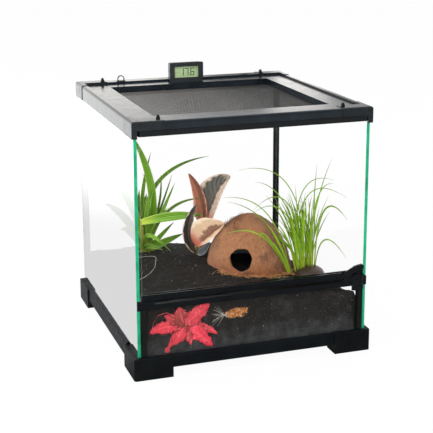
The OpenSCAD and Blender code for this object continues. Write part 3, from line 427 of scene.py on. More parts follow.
def soil_surface(name, grey):
    """Crumbly coconut soil; grey is how much pale smear it shows."""
    s = Surface(name, (48, 44, 40), 0.95, Specular_IOR_Level=0.15)
    crumbs = s.noise(1.6, 8, 0.7)
    clods = s.noise(13, 5, 0.6)
    body = s.ramp(crumbs, (0.32, (18, 17, 16)), (0.52, (36, 34, 32)),
                  (0.66, (52, 49, 46)), (0.8, (76, 72, 67)))
    smear = s.ramp(s.noise(26, 7, 0.72, (1, 1, 0.7)), (0.4, (36, 36, 35)), (0.75, (78, 80, 82)))
    amount = s.math("MULTIPLY", s.step(clods, 0.42, 0.68), grey, True)
    body = s.mix(amount, body, smear)
    if grey > 0.3:
        # Paler grey towards the bottom of the soil.
        up = s.split(s.place())["Z"]
        paler_low = s.step(s.math("ADD", up, s.math("MULTIPLY", s.noise(16, 6), 60)), PALE_FROM, PALE_FULL)
        body = s.mix(s.math("MULTIPLY", paler_low, 0.55), body, (86, 88, 90))
    s.color(s.mix(s.step(s.noise(1.0, 2), 0.71, 0.76, 0.0, 0.8), body, (168, 168, 164)))
    height = s.math("ADD", crumbs, s.math("MULTIPLY", s.noise(0.5, 3), 0.4))
    return s.bump(height, 0.9 if grey < 0.5 else 0.25).material


def coconut_husk(center):
    """Scraped shell: streaks of fibre that run down from the crown, with painted shade on its right side.
    """
    s = Surface("coconut_husk", (150, 105, 80), 0.85, Specular_IOR_Level=0.2, Sheen_Weight=0.15)
    spot = s.split(s.place(shift=[-c for c in center]))
    around = s.math("ARCTAN2", spot["Y"], spot["X"])
    grain = s.node("ShaderNodeCombineXYZ")
    s.join(s.math("MULTIPLY", around, 46), grain.inputs["X"])
    s.join(s.math("MULTIPLY", spot["Z"], 0.09), grain.inputs["Y"])
    streak = s.noise(0.7, 8, 0.72, where=grain.outputs["Vector"])
    patch = s.noise(20, 5, 0.6)
    fine = s.noise(1.5, 8, 0.8)
    warm = s.ramp(streak, (0.3, (124, 80, 54)), (0.48, (170, 116, 80)),
                  (0.62, (192, 136, 96)), (0.78, (218, 168, 122)))
    dull = s.ramp(streak, (0.3, (84, 56, 42)), (0.7, (146, 104, 78)))
    body = s.mix(s.step(patch, 0.46, 0.7), warm, dull)
    body = s.over(body, fine, 0.5, 0.66, 0.0, 0.75, (86, 52, 36))
    body = s.over(body, fine, 0.34, 0.46, 0.5, 0.0, (226, 174, 124))
    # Painted shade: the shell darkens towards its right side, away from the light.
    body = s.over(body, spot["X"], 0, 44, 0.0, 0.6, (74, 48, 36))
    low_part = s.step(spot["Z"], 2, 30, 0.7, 0.0)
    s.color(s.mix(low_part, body, (206, 146, 104), "MULTIPLY"))
    height = s.math("ADD", streak, s.math("MULTIPLY", fine, 0.6))
    return s.bump(height, 0.8).material


def blade_green(name, base, middle, tip, edge, dark, vein):
    """Blade that pales towards its base, with veins along it and a paler margin; its tone
    leads towards the dark colour."""
    s = Surface(name, middle, 0.42, Specular_IOR_Level=0.35)
    along, across, tone = s.blade_values()
    body = s.ramp(along, (0.0, base), (0.3, middle), (0.75, middle), (1.0, tip))
    body = s.mix(s.math("MULTIPLY", tone, 0.85), body, s.ramp(along, (0.0, tip), (0.5, dark)))
    rib = s.math("SINE", s.math("MULTIPLY", across, vein))
    body = s.over(body, rib, 0.2, 0.9, 0.0, 0.22, edge)
    body = s.over(body, s.math("ABSOLUTE", across), 0.78, 1.0, 0.0, 0.55, edge)
    s.color(s.mix(s.math("MULTIPLY", s.noise(7, 5), 0.3), body, (40, 70, 12)))
    return s.bump(rib, 0.12).material


def variegated_leaf(name, face, patch, rim, rib_color, side, start=0.02, base=None, veined=0.16):
    """Broad leaf: a dark patch on one side from start, or along the midrib where side is 0; a
    pale rim, a coloured midrib and, where base is given, a colour near the stalk."""
    s = Surface(name, face, 0.38, Specular_IOR_Level=0.4)
    along, across, _ = s.blade_values()
    ragged = s.math("ADD", across, s.math("MULTIPLY", s.math("SUBTRACT", s.noise(7, 5), 0.5), 0.9))
    if side:
        lobe = s.step(s.math("MULTIPLY", ragged, side), start, start + 0.18)
    else:
        lobe = s.step(s.math("ABSOLUTE", ragged), start, start + 0.2, 1.0, 0.0)
    ends = s.step(s.math("ABSOLUTE", s.math("SUBTRACT", along, 0.55)), 0.3, 0.46, 1.0, 0.0)
    body = s.mix(s.math("MULTIPLY", lobe, ends), face, patch)
    veins = s.math("SINE", s.math("MULTIPLY", s.math("SUBTRACT", along,
                   s.math("MULTIPLY", s.math("ABSOLUTE", across), 0.25)), 62))
    body = s.over(body, veins, 0.6, 1.0, 0.0, veined, rib_color)
    body = s.mix(s.step(s.math("ABSOLUTE", ragged), 0.74, 0.95), body, rim)
    midrib = s.step(s.math("ABSOLUTE", across), 0.02, 0.07, 0.7, 0.0)
    body = s.mix(midrib, body, rib_color)
    if base:
        body = s.over(body, along, 0.06, 0.3, 1.0, 0.0, base)
    s.color(s.mix(s.math("MULTIPLY", s.noise(3, 6), 0.25), body, s.mix(0.5, face, patch)))
    return s.bump(s.math("ADD", veins, s.math("MULTIPLY", midrib, -3)), 0.18).material


def red_velvet():
    """Crumpled red leaf: painted pink highlights on its folds, painted shade in its creases and along its
    margins, and maroon stains; its tone leads to brown.
    """
    s = Surface("red_velvet", (222, 62, 78), 0.5, Specular_IOR_Level=0.35, Sheen_Weight=0.1)
    along, across, tone = s.blade_values()
    body = s.ramp(along, (0.0, (150, 34, 44)), (0.3, (226, 56, 76)), (1.0, (208, 40, 62)))
    body = s.mix(tone, body, s.ramp(along, (0.0, (110, 40, 34)), (0.6, (156, 62, 56)),
                                    (1.0, (182, 42, 56))))
    folds = s.noise(2.4, 5, 0.6, (1, 1, 0.45))
    # Painted highlight in pink on the raised folds, and painted shade in the creases.
    body = s.over(body, folds, 0.52, 0.68, 0.0, 0.55, (248, 118, 128))
    body = s.over(body, folds, 0.3, 0.44, 0.6, 0.0, (122, 22, 36))
    body = s.over(body, s.noise(6, 5, 0.65), 0.54, 0.66, 0.0, 0.6, (132, 34, 44))
    # Painted shade along the margins, where the leaves overlap.
    body = s.over(body, s.math("ABSOLUTE", across), 0.7, 1.0, 0.0, 0.75, (96, 18, 28))
    midrib = s.step(s.math("ABSOLUTE", across), 0.03, 0.12, 0.5, 0.0)
    s.color(s.mix(midrib, body, (236, 96, 104)))
    return s.bump(folds, 0.5).material


GLASS_INDEX = 1.12
GLASS_ROUGHNESS = 0.02
# How edge-on a side pane is seen when its reflection starts, when it is full, and its full share
VEIL_FROM = 0.5
VEIL_FULL = 0.74
VEIL_SHARE = 0.78
LID_HALF = 130
# Heights over which the soil at the glass turns paler towards the bottom
PALE_FROM = 82.0
PALE_FULL = 44.0
FRAME = moulded_plastic("frame_black", (20, 26, 31), (32, 40, 46), 0.14, 0.22, 0.6, 0.004)
BASE = moulded_plastic("base_black", (10, 13, 17), (20, 24, 27), 0.45, 0.6, specular=0.08)
CORNER = moulded_plastic("corner_black", (20, 24, 28), (34, 40, 44), 0.2, 0.3, 0.9, 0.006)
FOOT = moulded_plastic("foot_black", (10, 13, 16), (20, 24, 26), 0.45, 0.6, 0.9, 0.05, 0.1)
DOOR_BAR = moulded_plastic("door_black", (8, 11, 14), (16, 21, 25), 0.16, 0.26, 0.6, 0.004, 0.5)
LATCH = moulded_plastic("latch_black", (8, 10, 12), (16, 19, 22), 0.2, 0.3, 0.6, 0.004, 0.6)
CLIP = moulded_plastic("clip_black", (12, 14, 16), (24, 26, 28), 0.35, 0.5)
METER = moulded_plastic("meter_grey", (36, 39, 43), (48, 52, 56), 0.3, 0.42)
GLASS = pane_glass("pane_clear")
GLASS_SIDE = pane_glass("pane_side", VEIL_SHARE)
EDGE = two_tone("glass_edge", (0, 150, 105), 0.3, 0.5, ((0.3, (0, 135, 92)), (0.7, (20, 172, 124))),
                (14, 3), (0.8,), 0.05)
SILICONE = two_tone("silicone", (18, 19, 20), 0.35, 0.4,
                    ((0.3, (12, 13, 14)), (0.8, (28, 29, 31))), (12,), (3, 2), 0.15)
LCD = two_tone("lcd_panel", (168, 190, 140), 0.35, 0.5,
               ((0.3, (156, 184, 128)), (0.75, (182, 200, 160))), (22, 3), (0.5,), 0.01)
BOARD = plain_varied("circuit_board", (40, 96, 54), (66, 128, 78), 3, 0.5, 0.05)
WIRE = coated_wire()
STEEL = plain_varied("pin_steel", (96, 100, 104), (150, 154, 158), 4, 0.35, 0.02, 0.5)
PIN = plain_varied("pivot_black", (10, 12, 14), (22, 25, 28), 3, 0.35, 0.02, 0.4)


# ---------------------------------------------------------------- CAD nodes that stay

WAYS = ("front", "rear", "left", "right")
CORNERS = ("front_left", "front_right", "rear_left", "rear_right")


def each(start, places):
    """The names of like nodes at several places."""
    return [start + place for place in places]


KEPT = {
    BASE: each("base_rail_", WAYS),
    FRAME: each("top_rail_", WAYS) + ["lid_front", "lid_rear", "lid_rail_left", "lid_rail_right",
                                      "mesh_retainer"],
    DOOR_BAR: ["vent_strip", "door_top_rail", "door_bottom_rail"],
    FOOT: each("foot_", CORNERS),
    CORNER: each("top_corner_", CORNERS),
    LATCH: each("latch_", ("keeper", "housing", "lever", "bolt")),
    CLIP: each("lid_clip_", CORNERS) + each("inlet_gate_", ("left", "right")),
    METER: ["meter_case", "meter_bezel"],
    SILICONE: ["rear_corner_seals", "front_edge_channels"],
    STEEL: ["door_hinge_pins", "meter_cells"],
    PIN: ["latch_pivot_pin"],
    LCD: ["meter_display"],
    BOARD: ["meter_board"]}
# How far the edges of each material's mouldings are rounded
EDGE_RADIUS = {BASE: 0.6, FRAME: 0.5, DOOR_BAR: 0.4, FOOT: 0.7, CORNER: 0.6, LATCH: 0.3, METER: 0.4}


def dress_cad_nodes():
    """Gives each kept node its material, and softens the edges of its mouldings."""
    for material, names in KEPT.items():
        for name in names:
            node = nodes[name]
            node.data.materials.clear()
            node.data.materials.append(material)
            if material in EDGE_RADIUS:
                bevel = node.modifiers.new("soft_edges", "BEVEL")
                bevel.width = EDGE_RADIUS[material] * MM
                bevel.segments = 2
                bevel.limit_method = "ANGLE"
                bevel.angle_limit = math.radians(50)


dress_cad_nodes()


# ---------------------------------------------------------------- mesh helpers

def bend(t, a, b, c):
    """Point at t on the curve from a, drawn towards b, to c."""
    return a * (1 - t) ** 2 + b * 2 * t * (1 - t) + c * t * t


def wave(x, y, z=0.0, size=10.0):
    """Smooth noise from -1 to 1 whose features are about size millimetres."""
    return noise.noise(Vector((x, y, z)) / size)


def spoke(turn, across, along, z=0.0):
    """Point at a turn on an ellipse round the upright axis."""
    return Vector((across * math.cos(turn), along * math.sin(turn), z))


def turns(count):
    """Angles that share out a full turn."""
    return [2 * math.pi * k / count for k in range(count)]


def bands(rings, n):
    """Faces between rings of n points each, one ring after another."""
    return [[j * n + i, j * n + (i + 1) % n, (j + 1) * n + (i + 1) % n, (j + 1) * n + i]
            for j in range(rings - 1) for i in range(n)]


def border(rows, columns):
    """The points round a grid, in turn."""
    return ([j for j in range(columns)] + [i * columns + columns - 1 for i in range(1, rows)]
            + [(rows - 1) * columns + j for j in range(columns - 2, -1, -1)]
            + [i * columns for i in range(rows - 2, 0, -1)])


class Build:
    """Collects points in millimetres, faces and point values for one mesh."""

    def __init__(self):
        self.points, self.faces, self.slots, self.values = [], [], [], {}

    def add(self, points, faces, slot=0, **values):
        start = len(self.points)
        self.points += [tuple(p) for p in points]
        self.faces += [[start + i for i in f] for f in faces]
        self.slots += slot if isinstance(slot, list) else [slot] * len(faces)
        for key, numbers in values.items():
            held = self.values.setdefault(key, [0.0] * start)
            held += [0.0] * (start - len(held)) + list(numbers)

    def tube(self, path, radius, sides=3, end_radius=None, slot=0, **values):
        """Closed tube along a path of points."""
        end_radius = radius if end_radius is None else end_radius
        points = []
        last = len(path) - 1
        for i, p in enumerate(path):
            ahead = (Vector(path[min(i + 1, last)]) - Vector(path[max(i - 1, 0)])).normalized()
            across = ahead.cross(UP if abs(ahead.z) < 0.9 else Vector((1, 0, 0))).normalized()
            over = across.cross(ahead)
            r = radius + (end_radius - radius) * i / last
            points += [Vector(p) + (across * math.cos(a) + over * math.sin(a)) * r for a in turns(sides)]
        faces = bands(len(path), sides)
        faces += [list(range(sides))[::-1], [last * sides + k for k in range(sides)]]
        self.add(points, faces, slot, **{k: [v] * len(points) for k, v in values.items()})

    def sheet(self, rows, thickness, slot=0, **values):
        """Closed thin sheet through a grid of points; it thins out towards its edges."""
        n, m = len(rows), len(rows[0])
        top, under = [], []
        for i in range(n):
            for j in range(m):
                along = rows[min(i + 1, n - 1)][j] - rows[max(i - 1, 0)][j]
                across = rows[i][min(j + 1, m - 1)] - rows[i][max(j - 1, 0)]
                normal = along.cross(across)
                normal = normal.normalized() if normal.length > 1e-9 else UP
                rim = 0.35 if i in (0, n - 1) or j in (0, m - 1) else 1.0
                top.append(rows[i][j] + normal * thickness * rim / 2)
                under.append(rows[i][j] - normal * thickness * rim / 2)
        faces = []
        k = n * m
        for i in range(n - 1):
            for j in range(m - 1):
                a = i * m + j
                faces.append([a, a + m, a + m + 1, a + 1])
                faces.append([k + a, k + a + 1, k + a + m + 1, k + a + m])
        ring = border(n, m)
        faces += [[a, b, k + b, k + a] for a, b in zip(ring, ring[1:] + ring[:1])]
        self.add(top + under, faces, slot, **{key: list(v) * 2 for key, v in values.items()})

    def crumb(self, at, size, rng, flat=1.0, slot=0):
        """Small irregular eight-faced lump."""
        axes = [Vector((1, 0, 0)), Vector((0, 1, 0)), Vector((0, 0, 1))]
        points = []
        for axis in axes:
            for sign in (1, -1):
                reach = size * rng.uniform(0.55, 1.0) * (flat if axis.z else 1.0)
                drift = Vector([rng.uniform(-0.25, 0.25) * size for _ in range(3)])
                points.append(Vector(at) + axis * sign * reach + drift)
        faces = [[0, 2, 4], [2, 1, 4], [1, 3, 4], [3, 0, 4],
                 [2, 0, 5], [1, 2, 5], [3, 1, 5], [0, 3, 5]]
        self.add(points, faces, slot)

    def finish(self, name, body, materials, smooth=True, replaces=()):
        """Makes the object, in metres, riding on a body."""
        mesh = bpy.data.meshes.new(name)
        mesh.from_pydata([[c * MM for c in p] for p in self.points], [], self.faces)
        for material in materials:
            mesh.materials.append(material)
        mesh.polygons.foreach_set("material_index", self.slots)
        mesh.polygons.foreach_set("use_smooth", [smooth] * len(self.faces))
        for key, numbers in self.values.items():
            numbers += [0.0] * (len(self.points) - len(numbers))
            mesh.attributes.new(key, "FLOAT", "POINT").data.foreach_set("value", numbers)
        mesh.validate()
        fix = bmesh.new()
        fix.from_mesh(mesh)
        bmesh.ops.recalc_face_normals(fix, faces=fix.faces)
        fix.to_mesh(mesh)
        fix.free()
        made = bpy.data.objects.new(name, mesh)
        bpy.context.collection.objects.link(made)
        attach(made, body)
        if replaces:
            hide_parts(*replaces)
        return made


# ---------------------------------------------------------------- glass

EDGE_CHAMFER = 0.4


def pane(node, body, thin, outer=0, ground=True):
    """A pane with clear faces; thin is the axis it is thin along, outer the side, -1 or 1, whose
    face reflects strongly, and ground says that its edges show green."""
    lo, hi = low(node), high(node)
    first, second = [a for a in range(3) if a != thin]
    c = EDGE_CHAMFER
    points = []
    for level, inset in ((lo[thin], c), (lo[thin] + c, 0), (hi[thin] - c, 0), (hi[thin], c)):
        for u, v in ((0, 0), (1, 0), (1, 1), (0, 1)):
            p = [0.0, 0.0, 0.0]
            p[thin] = level
            p[first] = hi[first] - inset if u else lo[first] + inset
            p[second] = hi[second] - inset if v else lo[second] + inset
            points.append(p)
    sides = bands(4, 4)
    build = Build()
    build.add(points, [[0, 1, 2, 3], [12, 13, 14, 15]] + sides,
              [int(outer < 0), int(outer > 0)] + [2] * len(sides))
    build.finish("glass_" + node, body, [GLASS, GLASS_SIDE, EDGE if ground else GLASS], False,
                 (node,))


pane("pane_bottom", "tank", 2)
pane("pane_left", "tank", 0, outer=-1)
pane("pane_right", "tank", 0, outer=1)
pane("pane_rear", "tank", 1, ground=False)
pane("pane_front_lower", "tank", 1, ground=False)
pane("door_glass", "door", 1, ground=False)


# ---------------------------------------------------------------- woven mesh of the lid

WIRE_PITCH = 3.0
WIRE_RADIUS = 0.28
WEAVE_LIFT = 0.2


def woven_mesh():
    lo, hi = low("lid_mesh"), high("lid_mesh")
    middle = (lo.z + hi.z) / 2
    nx = round((hi.x - lo.x) / WIRE_PITCH)
    ny = round((hi.y - lo.y) / WIRE_PITCH)
    px, py = (hi.x - lo.x) / nx, (hi.y - lo.y) / ny
    build = Build()

    def wire(count, spot, phase):
        path = []
        for k in range(count + 1):
            x, y = spot(k)
            path.append((x, y, middle + WEAVE_LIFT * (1 if (k + phase) % 2 else -1)))
        build.tube(path, WIRE_RADIUS, 4)

    for i in range(nx):
        wire(ny, lambda k, i=i: (lo.x + (i + 0.5) * px, lo.y + k * py), i)
    for j in range(1, ny):
        wire(nx - 1, lambda k, j=j: (lo.x + (k + 0.5) * px, lo.y + j * py), j + 1)
    build.finish("woven_mesh", "lid", [WIRE], False, ("lid_mesh",))


woven_mesh()


# ---------------------------------------------------------------- meter's figures

SEGMENT_INK = plain_varied("lcd_ink", (44, 58, 46), (64, 80, 62), 4, 0.5, 0.01)
SEGMENTS = {"1": "bc", "6": "afgedc", "7": "abc", "C": "afed"}
INK_RAISE = 0.12
INK_GAP = 0.12
BAR_SHARE = 0.22
WINDOW_AT = (1.0, 3.2)
FIGURE = (5.5, 10.5)
# Each figure with its place in the window and its width and height
FIGURES = (("1", 7.7, 0, *FIGURE), ("7", 14.4, 0, *FIGURE), (".", 20.6, 0, 1.0, 1.0),
           ("6", 22.6, 0, *FIGURE), ("C", 30.4, 7.6, 2.0, 2.9))


def block(build, a, b, slot=0):
    points = [(x, y, z) for x in (a[0], b[0]) for y in (a[1], b[1]) for z in (a[2], b[2])]
    faces = [[0, 1, 3, 2], [4, 6, 7, 5], [0, 4, 5, 1], [2, 3, 7, 6], [0, 2, 6, 4], [1, 5, 7, 3]]
    build.add(points, faces, slot)


def seven_segments(build, figure, x, z, w, h, y):
    """One figure as raised bars, its lower left corner at x, z."""
    bar = w * BAR_SHARE
    half = h / 2
    places = {"a": (x, z + h - bar, w, bar), "d": (x, z, w, bar), "g": (x, z + half - bar / 2, w, bar),
              "f": (x, z + half, bar, half), "b": (x + w - bar, z + half, bar, half),
              "e": (x, z, bar, half), "c": (x + w - bar, z, bar, half)}
    for letter in SEGMENTS[figure]:
        left, foot, width, height = places[letter]
        block(build, (left + INK_GAP, y - INK_RAISE, foot + INK_GAP),
              (left + width - INK_GAP, y, foot + height - INK_GAP))


def meter_figures():
    lo = low("meter_display")
    build = Build()
    for figure, across, up, w, h in FIGURES:
        x, z = lo.x + WINDOW_AT[0] + across, lo.z + WINDOW_AT[1] + up
        if figure == ".":
            block(build, (x, lo.y - INK_RAISE, z), (x + w, lo.y, z + h))
        else:
            seven_segments(build, figure, x, z, w, h, lo.y)
    build.finish("meter_figures", "lid", [SEGMENT_INK], False, ())


meter_figures()


# ---------------------------------------------------------------- soil

SOIL_TOP = 92.0
SOIL_FALL = 24.0
REAR_FROM = 20.0
EAST_RUN, EAST_FALL = 170.0, 16.0
RIGHT_RUN, RIGHT_FROM, RIGHT_BACK = 100.0, -60.0, 160.0
RIGHT_DEEP = 0.37 * SOIL_TOP
CORNER_RUN, CORNER_FALL = 9.5, 12.0
PIT_RUN, PIT_EDGE, PIT_BACK, PIT_FALL = 22.5, 12.0, 60.0, 14.0
HIDE_SUNK = 13.0
HIDE_AT = Vector((33.0, -36.0, SOIL_TOP - HIDE_SUNK))
HIDE_R = 54.0
STRAP_AT = Vector((-75.0, 75.0))
RUBBER_AT = Vector((-20.0, 12.0))
INNER = Vector((140.5, 143.5))
VENT_BOTTOM = 84.7
FLOOR_TOP = 22.0
SOIL_LOW = FLOOR_TOP + 6
FRONT_WALL = -INNER.y + 1.1
UNDER_VENT = -139.0
# Lumps of the soil: height, seed and size
LUMPS = ((1.3, 3, 22), (0.8, 9, 7), (0.4, 5, 3))
# The soil steps back behind the edge channels in front, and round the seals in the rear corners
CHANNEL_FROM, CHANNEL_DEEP = 133.6, 2.5
SEAL_FROM = 134.9
SOIL_CELLS, WALL_LEVELS = 130, 20
OPEN_X, OPEN_FRONT, OPEN_REAR = 138, -138, 141
QUARTERS = [k / 4 for k in range(5)]


def clamp01(v):
    return max(0.0, min(1.0, v))


def soil_z(x, y):
    """Same surface as the CAD substrate."""
    inward = INNER.x - x
    rear = clamp01((y - REAR_FROM) / (INNER.y - REAR_FROM))
    east = clamp01(1 - inward / EAST_RUN)
    right = clamp01(1 - inward / RIGHT_RUN) * clamp01((y - RIGHT_FROM) / RIGHT_BACK)
    corner = clamp01(1 - inward / CORNER_RUN)
    pit = (clamp01((PIT_RUN - inward) / PIT_EDGE) * clamp01((INNER.y + y) / PIT_EDGE)
           * clamp01((REAR_FROM - y) / PIT_BACK))
    return max(SOIL_LOW, SOIL_TOP - SOIL_FALL * rear - EAST_FALL * east ** 1.2 - RIGHT_DEEP * right
               - CORNER_FALL * corner - PIT_FALL * pit)


def ground(x, y):
    """Soil surface with its lumps, kept below the vent strip at the front."""
    z = soil_z(x, y)
    for rise, seed, size in LUMPS:
        z += rise * wave(x, y, seed, size)
    if y < UNDER_VENT:
        return min(z, VENT_BOTTOM - 0.6)
    return max(z, SOIL_LOW - 2)


def soil_mesh():
    """Surface of the soil, and under it the walls and the underside that the panes touch."""
    cells, levels = SOIL_CELLS, WALL_LEVELS
    half = INNER.x - 0.35

    def front(x):
        return FRONT_WALL if abs(x) < CHANNEL_FROM else -INNER.y + CHANNEL_DEEP

    def back(x):
        return INNER.y - 0.9 - max(0.0, abs(x) - SEAL_FROM)

    grid = []
    for j in range(cells + 1):
        for i in range(cells + 1):
            x = -half + 2 * half * i / cells
            v = j / cells
            y = front(x) + (back(x) - front(x)) * (v * v * 0.4 + v * 0.6)
            grid.append(Vector((x, y, ground(x, y))))
    build = Build()
    w = cells + 1
    build.add(grid, [[j * w + i, j * w + i + 1, (j + 1) * w + i + 1, (j + 1) * w + i]
                     for j in range(cells) for i in range(cells)])
    ring = border(w, w)
    points = []
    for level in range(levels + 1):
        for q in ring:
            p = grid[q].copy()
            p.z += (FLOOR_TOP + 0.2 - p.z) * level / levels
            if level and p.y < 0:
                p.y += 0.25 * wave(p.x, p.z, 4, 5)
            points.append(p)
    n = len(ring)
    build.add(points, bands(levels + 1, n) + [[levels * n + q for q in range(n)][::-1]], 1)
    weld(build)
    build.finish("soil", "tank", [SOIL, SOIL_AT_GLASS], True, ("substrate",))


def weld(build):
    """Joins points that coincide, so that the walls close onto the surface."""
    known, place, points = {}, [], []
    for p in build.points:
        key = tuple(round(c, 4) for c in p)
        if key not in known:
            known[key] = len(points)
            points.append(p)
        place.append(known[key])
    build.points = points
    build.faces = [[place[i] for i in f] for f in build.faces]


SOIL = soil_surface("soil", 0.12)
SOIL_AT_GLASS = soil_surface("soil_at_glass", 0.4)
CRUMB = plain_varied("soil_crumb", (36, 31, 28), (88, 76, 66), 2, 0.95, 0.2, 0.1)
PERLITE = plain_varied("perlite", (196, 194, 188), (236, 234, 230), 1.5, 0.8, 0.1)
FIBRE = plain_varied("coir_fibre", (158, 108, 66), (226, 172, 116), 3, 0.85, 0.05, 0.15)
DULL_FIBRE = plain_varied("dull_fibre", (74, 64, 54), (128, 116, 102), 3, 0.9, 0.05, 0.15)
WHITE_ROOT = plain_varied("white_root", (128, 124, 116), (190, 186, 176), 4, 0.6, 0.05)
PANE_PERLITE = 46
LOOSE_FIBRES = 130
HIDE_FIBRES = 240
# Crumbs on the soil: how many, how far above it, their sizes, flatness and material
CRUMBS = ((1700, 0.0, (0.4, 1.5), 0.7, 0), (170, 0.1, (0.2, 0.65), 0.8, 1))
# Where the pale root at the left runs
ROOT_SPOTS = [Vector(spot) for spot in ((-97, 24), (-80, 25), (-77, 12), (-81, 0), (-87, -19), (-94, -33),
                                        (-103, -48), (-120, -66))]


def on_soil(rng):
    """A random spot on the open soil."""
    while True:
        x, y = rng.uniform(-OPEN_X, OPEN_X), rng.uniform(OPEN_FRONT, OPEN_REAR)
        if math.hypot(x - HIDE_AT.x, y - HIDE_AT.y) > HIDE_R + 1:
            return x, y


def soil_litter():
    """Crumbs, perlite and loose fibres on the soil and against the lower pane."""
    rng = random.Random(11)
    build = Build()
    for count, above, sizes, flat, slot in CRUMBS:
        for _ in range(count):
            x, y = on_soil(rng)
            build.crumb((x, y, ground(x, y) + above), rng.uniform(*sizes), rng, flat, slot)
    for _ in range(PANE_PERLITE):
        x = rng.uniform(-125, 130)
        z = rng.uniform(30, min(80, soil_z(x, -140) - 4))
        build.crumb((x, FRONT_WALL, z), rng.uniform(0.25, 0.6), rng, 1, 1)
    for _ in range(LOOSE_FIBRES):
        x, y = on_soil(rng)
        turn, reach = rng.uniform(0, 2 * math.pi), rng.uniform(3, 9)
        curl = rng.uniform(-0.9, 0.9)
        path = []
        for f in QUARTERS:
            a = turn + curl * f
            px = max(-OPEN_X - 0.5, min(OPEN_X + 0.5, x + reach * f * math.cos(a)))
            py = max(OPEN_FRONT - 0.5, min(OPEN_REAR - 0.5, y + reach * f * math.sin(a)))
            path.append((px, py, ground(px, py) + 0.25))
        build.tube(path, 0.14, 3, 0.07, 2)
    for _ in range(HIDE_FIBRES):
        turn = math.radians(rng.uniform(-150, -25))
        reach = HIDE_R + min(14, abs(rng.gauss(1, 5)))
        spot = HIDE_AT + spoke(turn, reach, reach)
        a, length = rng.uniform(0, math.pi), rng.uniform(3, 9)
        ends = [spot + spoke(a, r, r) for r in (-length / 2, length / 2)]
        build.tube([(e.x, e.y, ground(e.x, e.y) + rng.uniform(0.4, 3.2)) for e in ends], 0.32, 3, 0.15, 3)
    build.finish("soil_litter", "tank", [CRUMB, PERLITE, DULL_FIBRE, FIBRE], False, ())


def root_thread():
    """Pale root that loops over the soil at the left."""
    path = []
    last = len(ROOT_SPOTS) - 1
    for k in range(25):
        t = k / 24 * last
        i = min(int(t), last - 1)
        f = t - i
        a, b, c, d = (ROOT_SPOTS[j] for j in (max(i - 1, 0), i, i + 1, min(i + 2, last)))
        p = 0.5 * (2 * b + (c - a) * f + (2 * a - 5 * b + 4 * c - d) * f * f
                   + (3 * b - a - 3 * c + d) * f ** 3)
        path.append((p.x, p.y, ground(p.x, p.y) + 0.4))
    build = Build()
    build.tube(path, 0.3, 6, 0.45)
    build.finish("root_thread", "tank", [WHITE_ROOT], True, ())


soil_mesh()
soil_litter()
root_thread()


# ---------------------------------------------------------------- coconut hide

HIDE_H = 76.0
HIDE_T = 5.0
HOLE_R = 14.0
HOLE_UP = 28.5
HOLE_TURN = math.radians(-122)
HOLE_SIDES = 40
# Where the doorway's cutter starts from the middle of the hide, and how long it is
HOLE_FROM, HOLE_LONG = 24, 40
# Where no fibre starts: half the doorway's turn, its foot and its head
HOLE_HALF, HOLE_FOOT, HOLE_HEAD = 0.36, 0.1, 0.62
TUFT_FIBRES = 90
DOME_ROUND = 112
DOME_UP = 34
# Fibres: how many and about which turn, then the spans of turn, height, drop, swing, lift and radius
HAIRS = (
    (620, 0, (0, 2 * math.pi), (0.12, 0.95), (0.03, 0.08), (-0.1, 0.1), (0.1, 0.8), (0.08, 0.15)),
    (260, 0, (0, 2 * math.pi), (0.03, 0.14), (0.04, 0.12), (-0.16, 0.16), (0.4, 2.0), (0.12, 0.22)),
    (120, HOLE_TURN, (-0.32, 0.32), (0.03, 0.12), (0.03, 0.1), (-0.25, 0.25), (0.5, 2.6), (0.14, 0.26)))


def hide_point(turn, up, radius, height):
    """Point on the dome; up runs from 0 at the foot to 1 at the crown."""
    rise = 1 - (1 - up) ** 1.6
    r = radius * (1 - rise ** 2.2) ** 0.58
    return spoke(turn, r, r, height * rise)


def outward(p):
    """Direction that the dome faces at a point."""
    return Vector((p.x, p.y, p.z * 0.8)).normalized()


def dome(build, radius, height, rough, slot):
    points = []
    n = DOME_ROUND
    for j in range(DOME_UP):
        for turn in turns(n):
            p = hide_point(turn, j / DOME_UP, radius, height)
            lift = rough * (wave(p.x, p.y, p.z, 24) * 1.2 + 0.5 * wave(p.x, p.y, p.z, 7)
                            + 0.35 * wave(turn * 60, p.z * 0.2, 0, 2.0))
            points.append(p + outward(p) * (min(lift, 0.6) if j else 0))
    crown = len(points)
    points.append(Vector((0, 0, height)))
    top = (DOME_UP - 1) * n
    faces = bands(DOME_UP, n) + [[top + i, top + (i + 1) % n, crown] for i in range(n)]
    build.add([p + HIDE_AT for p in points], faces, slot)


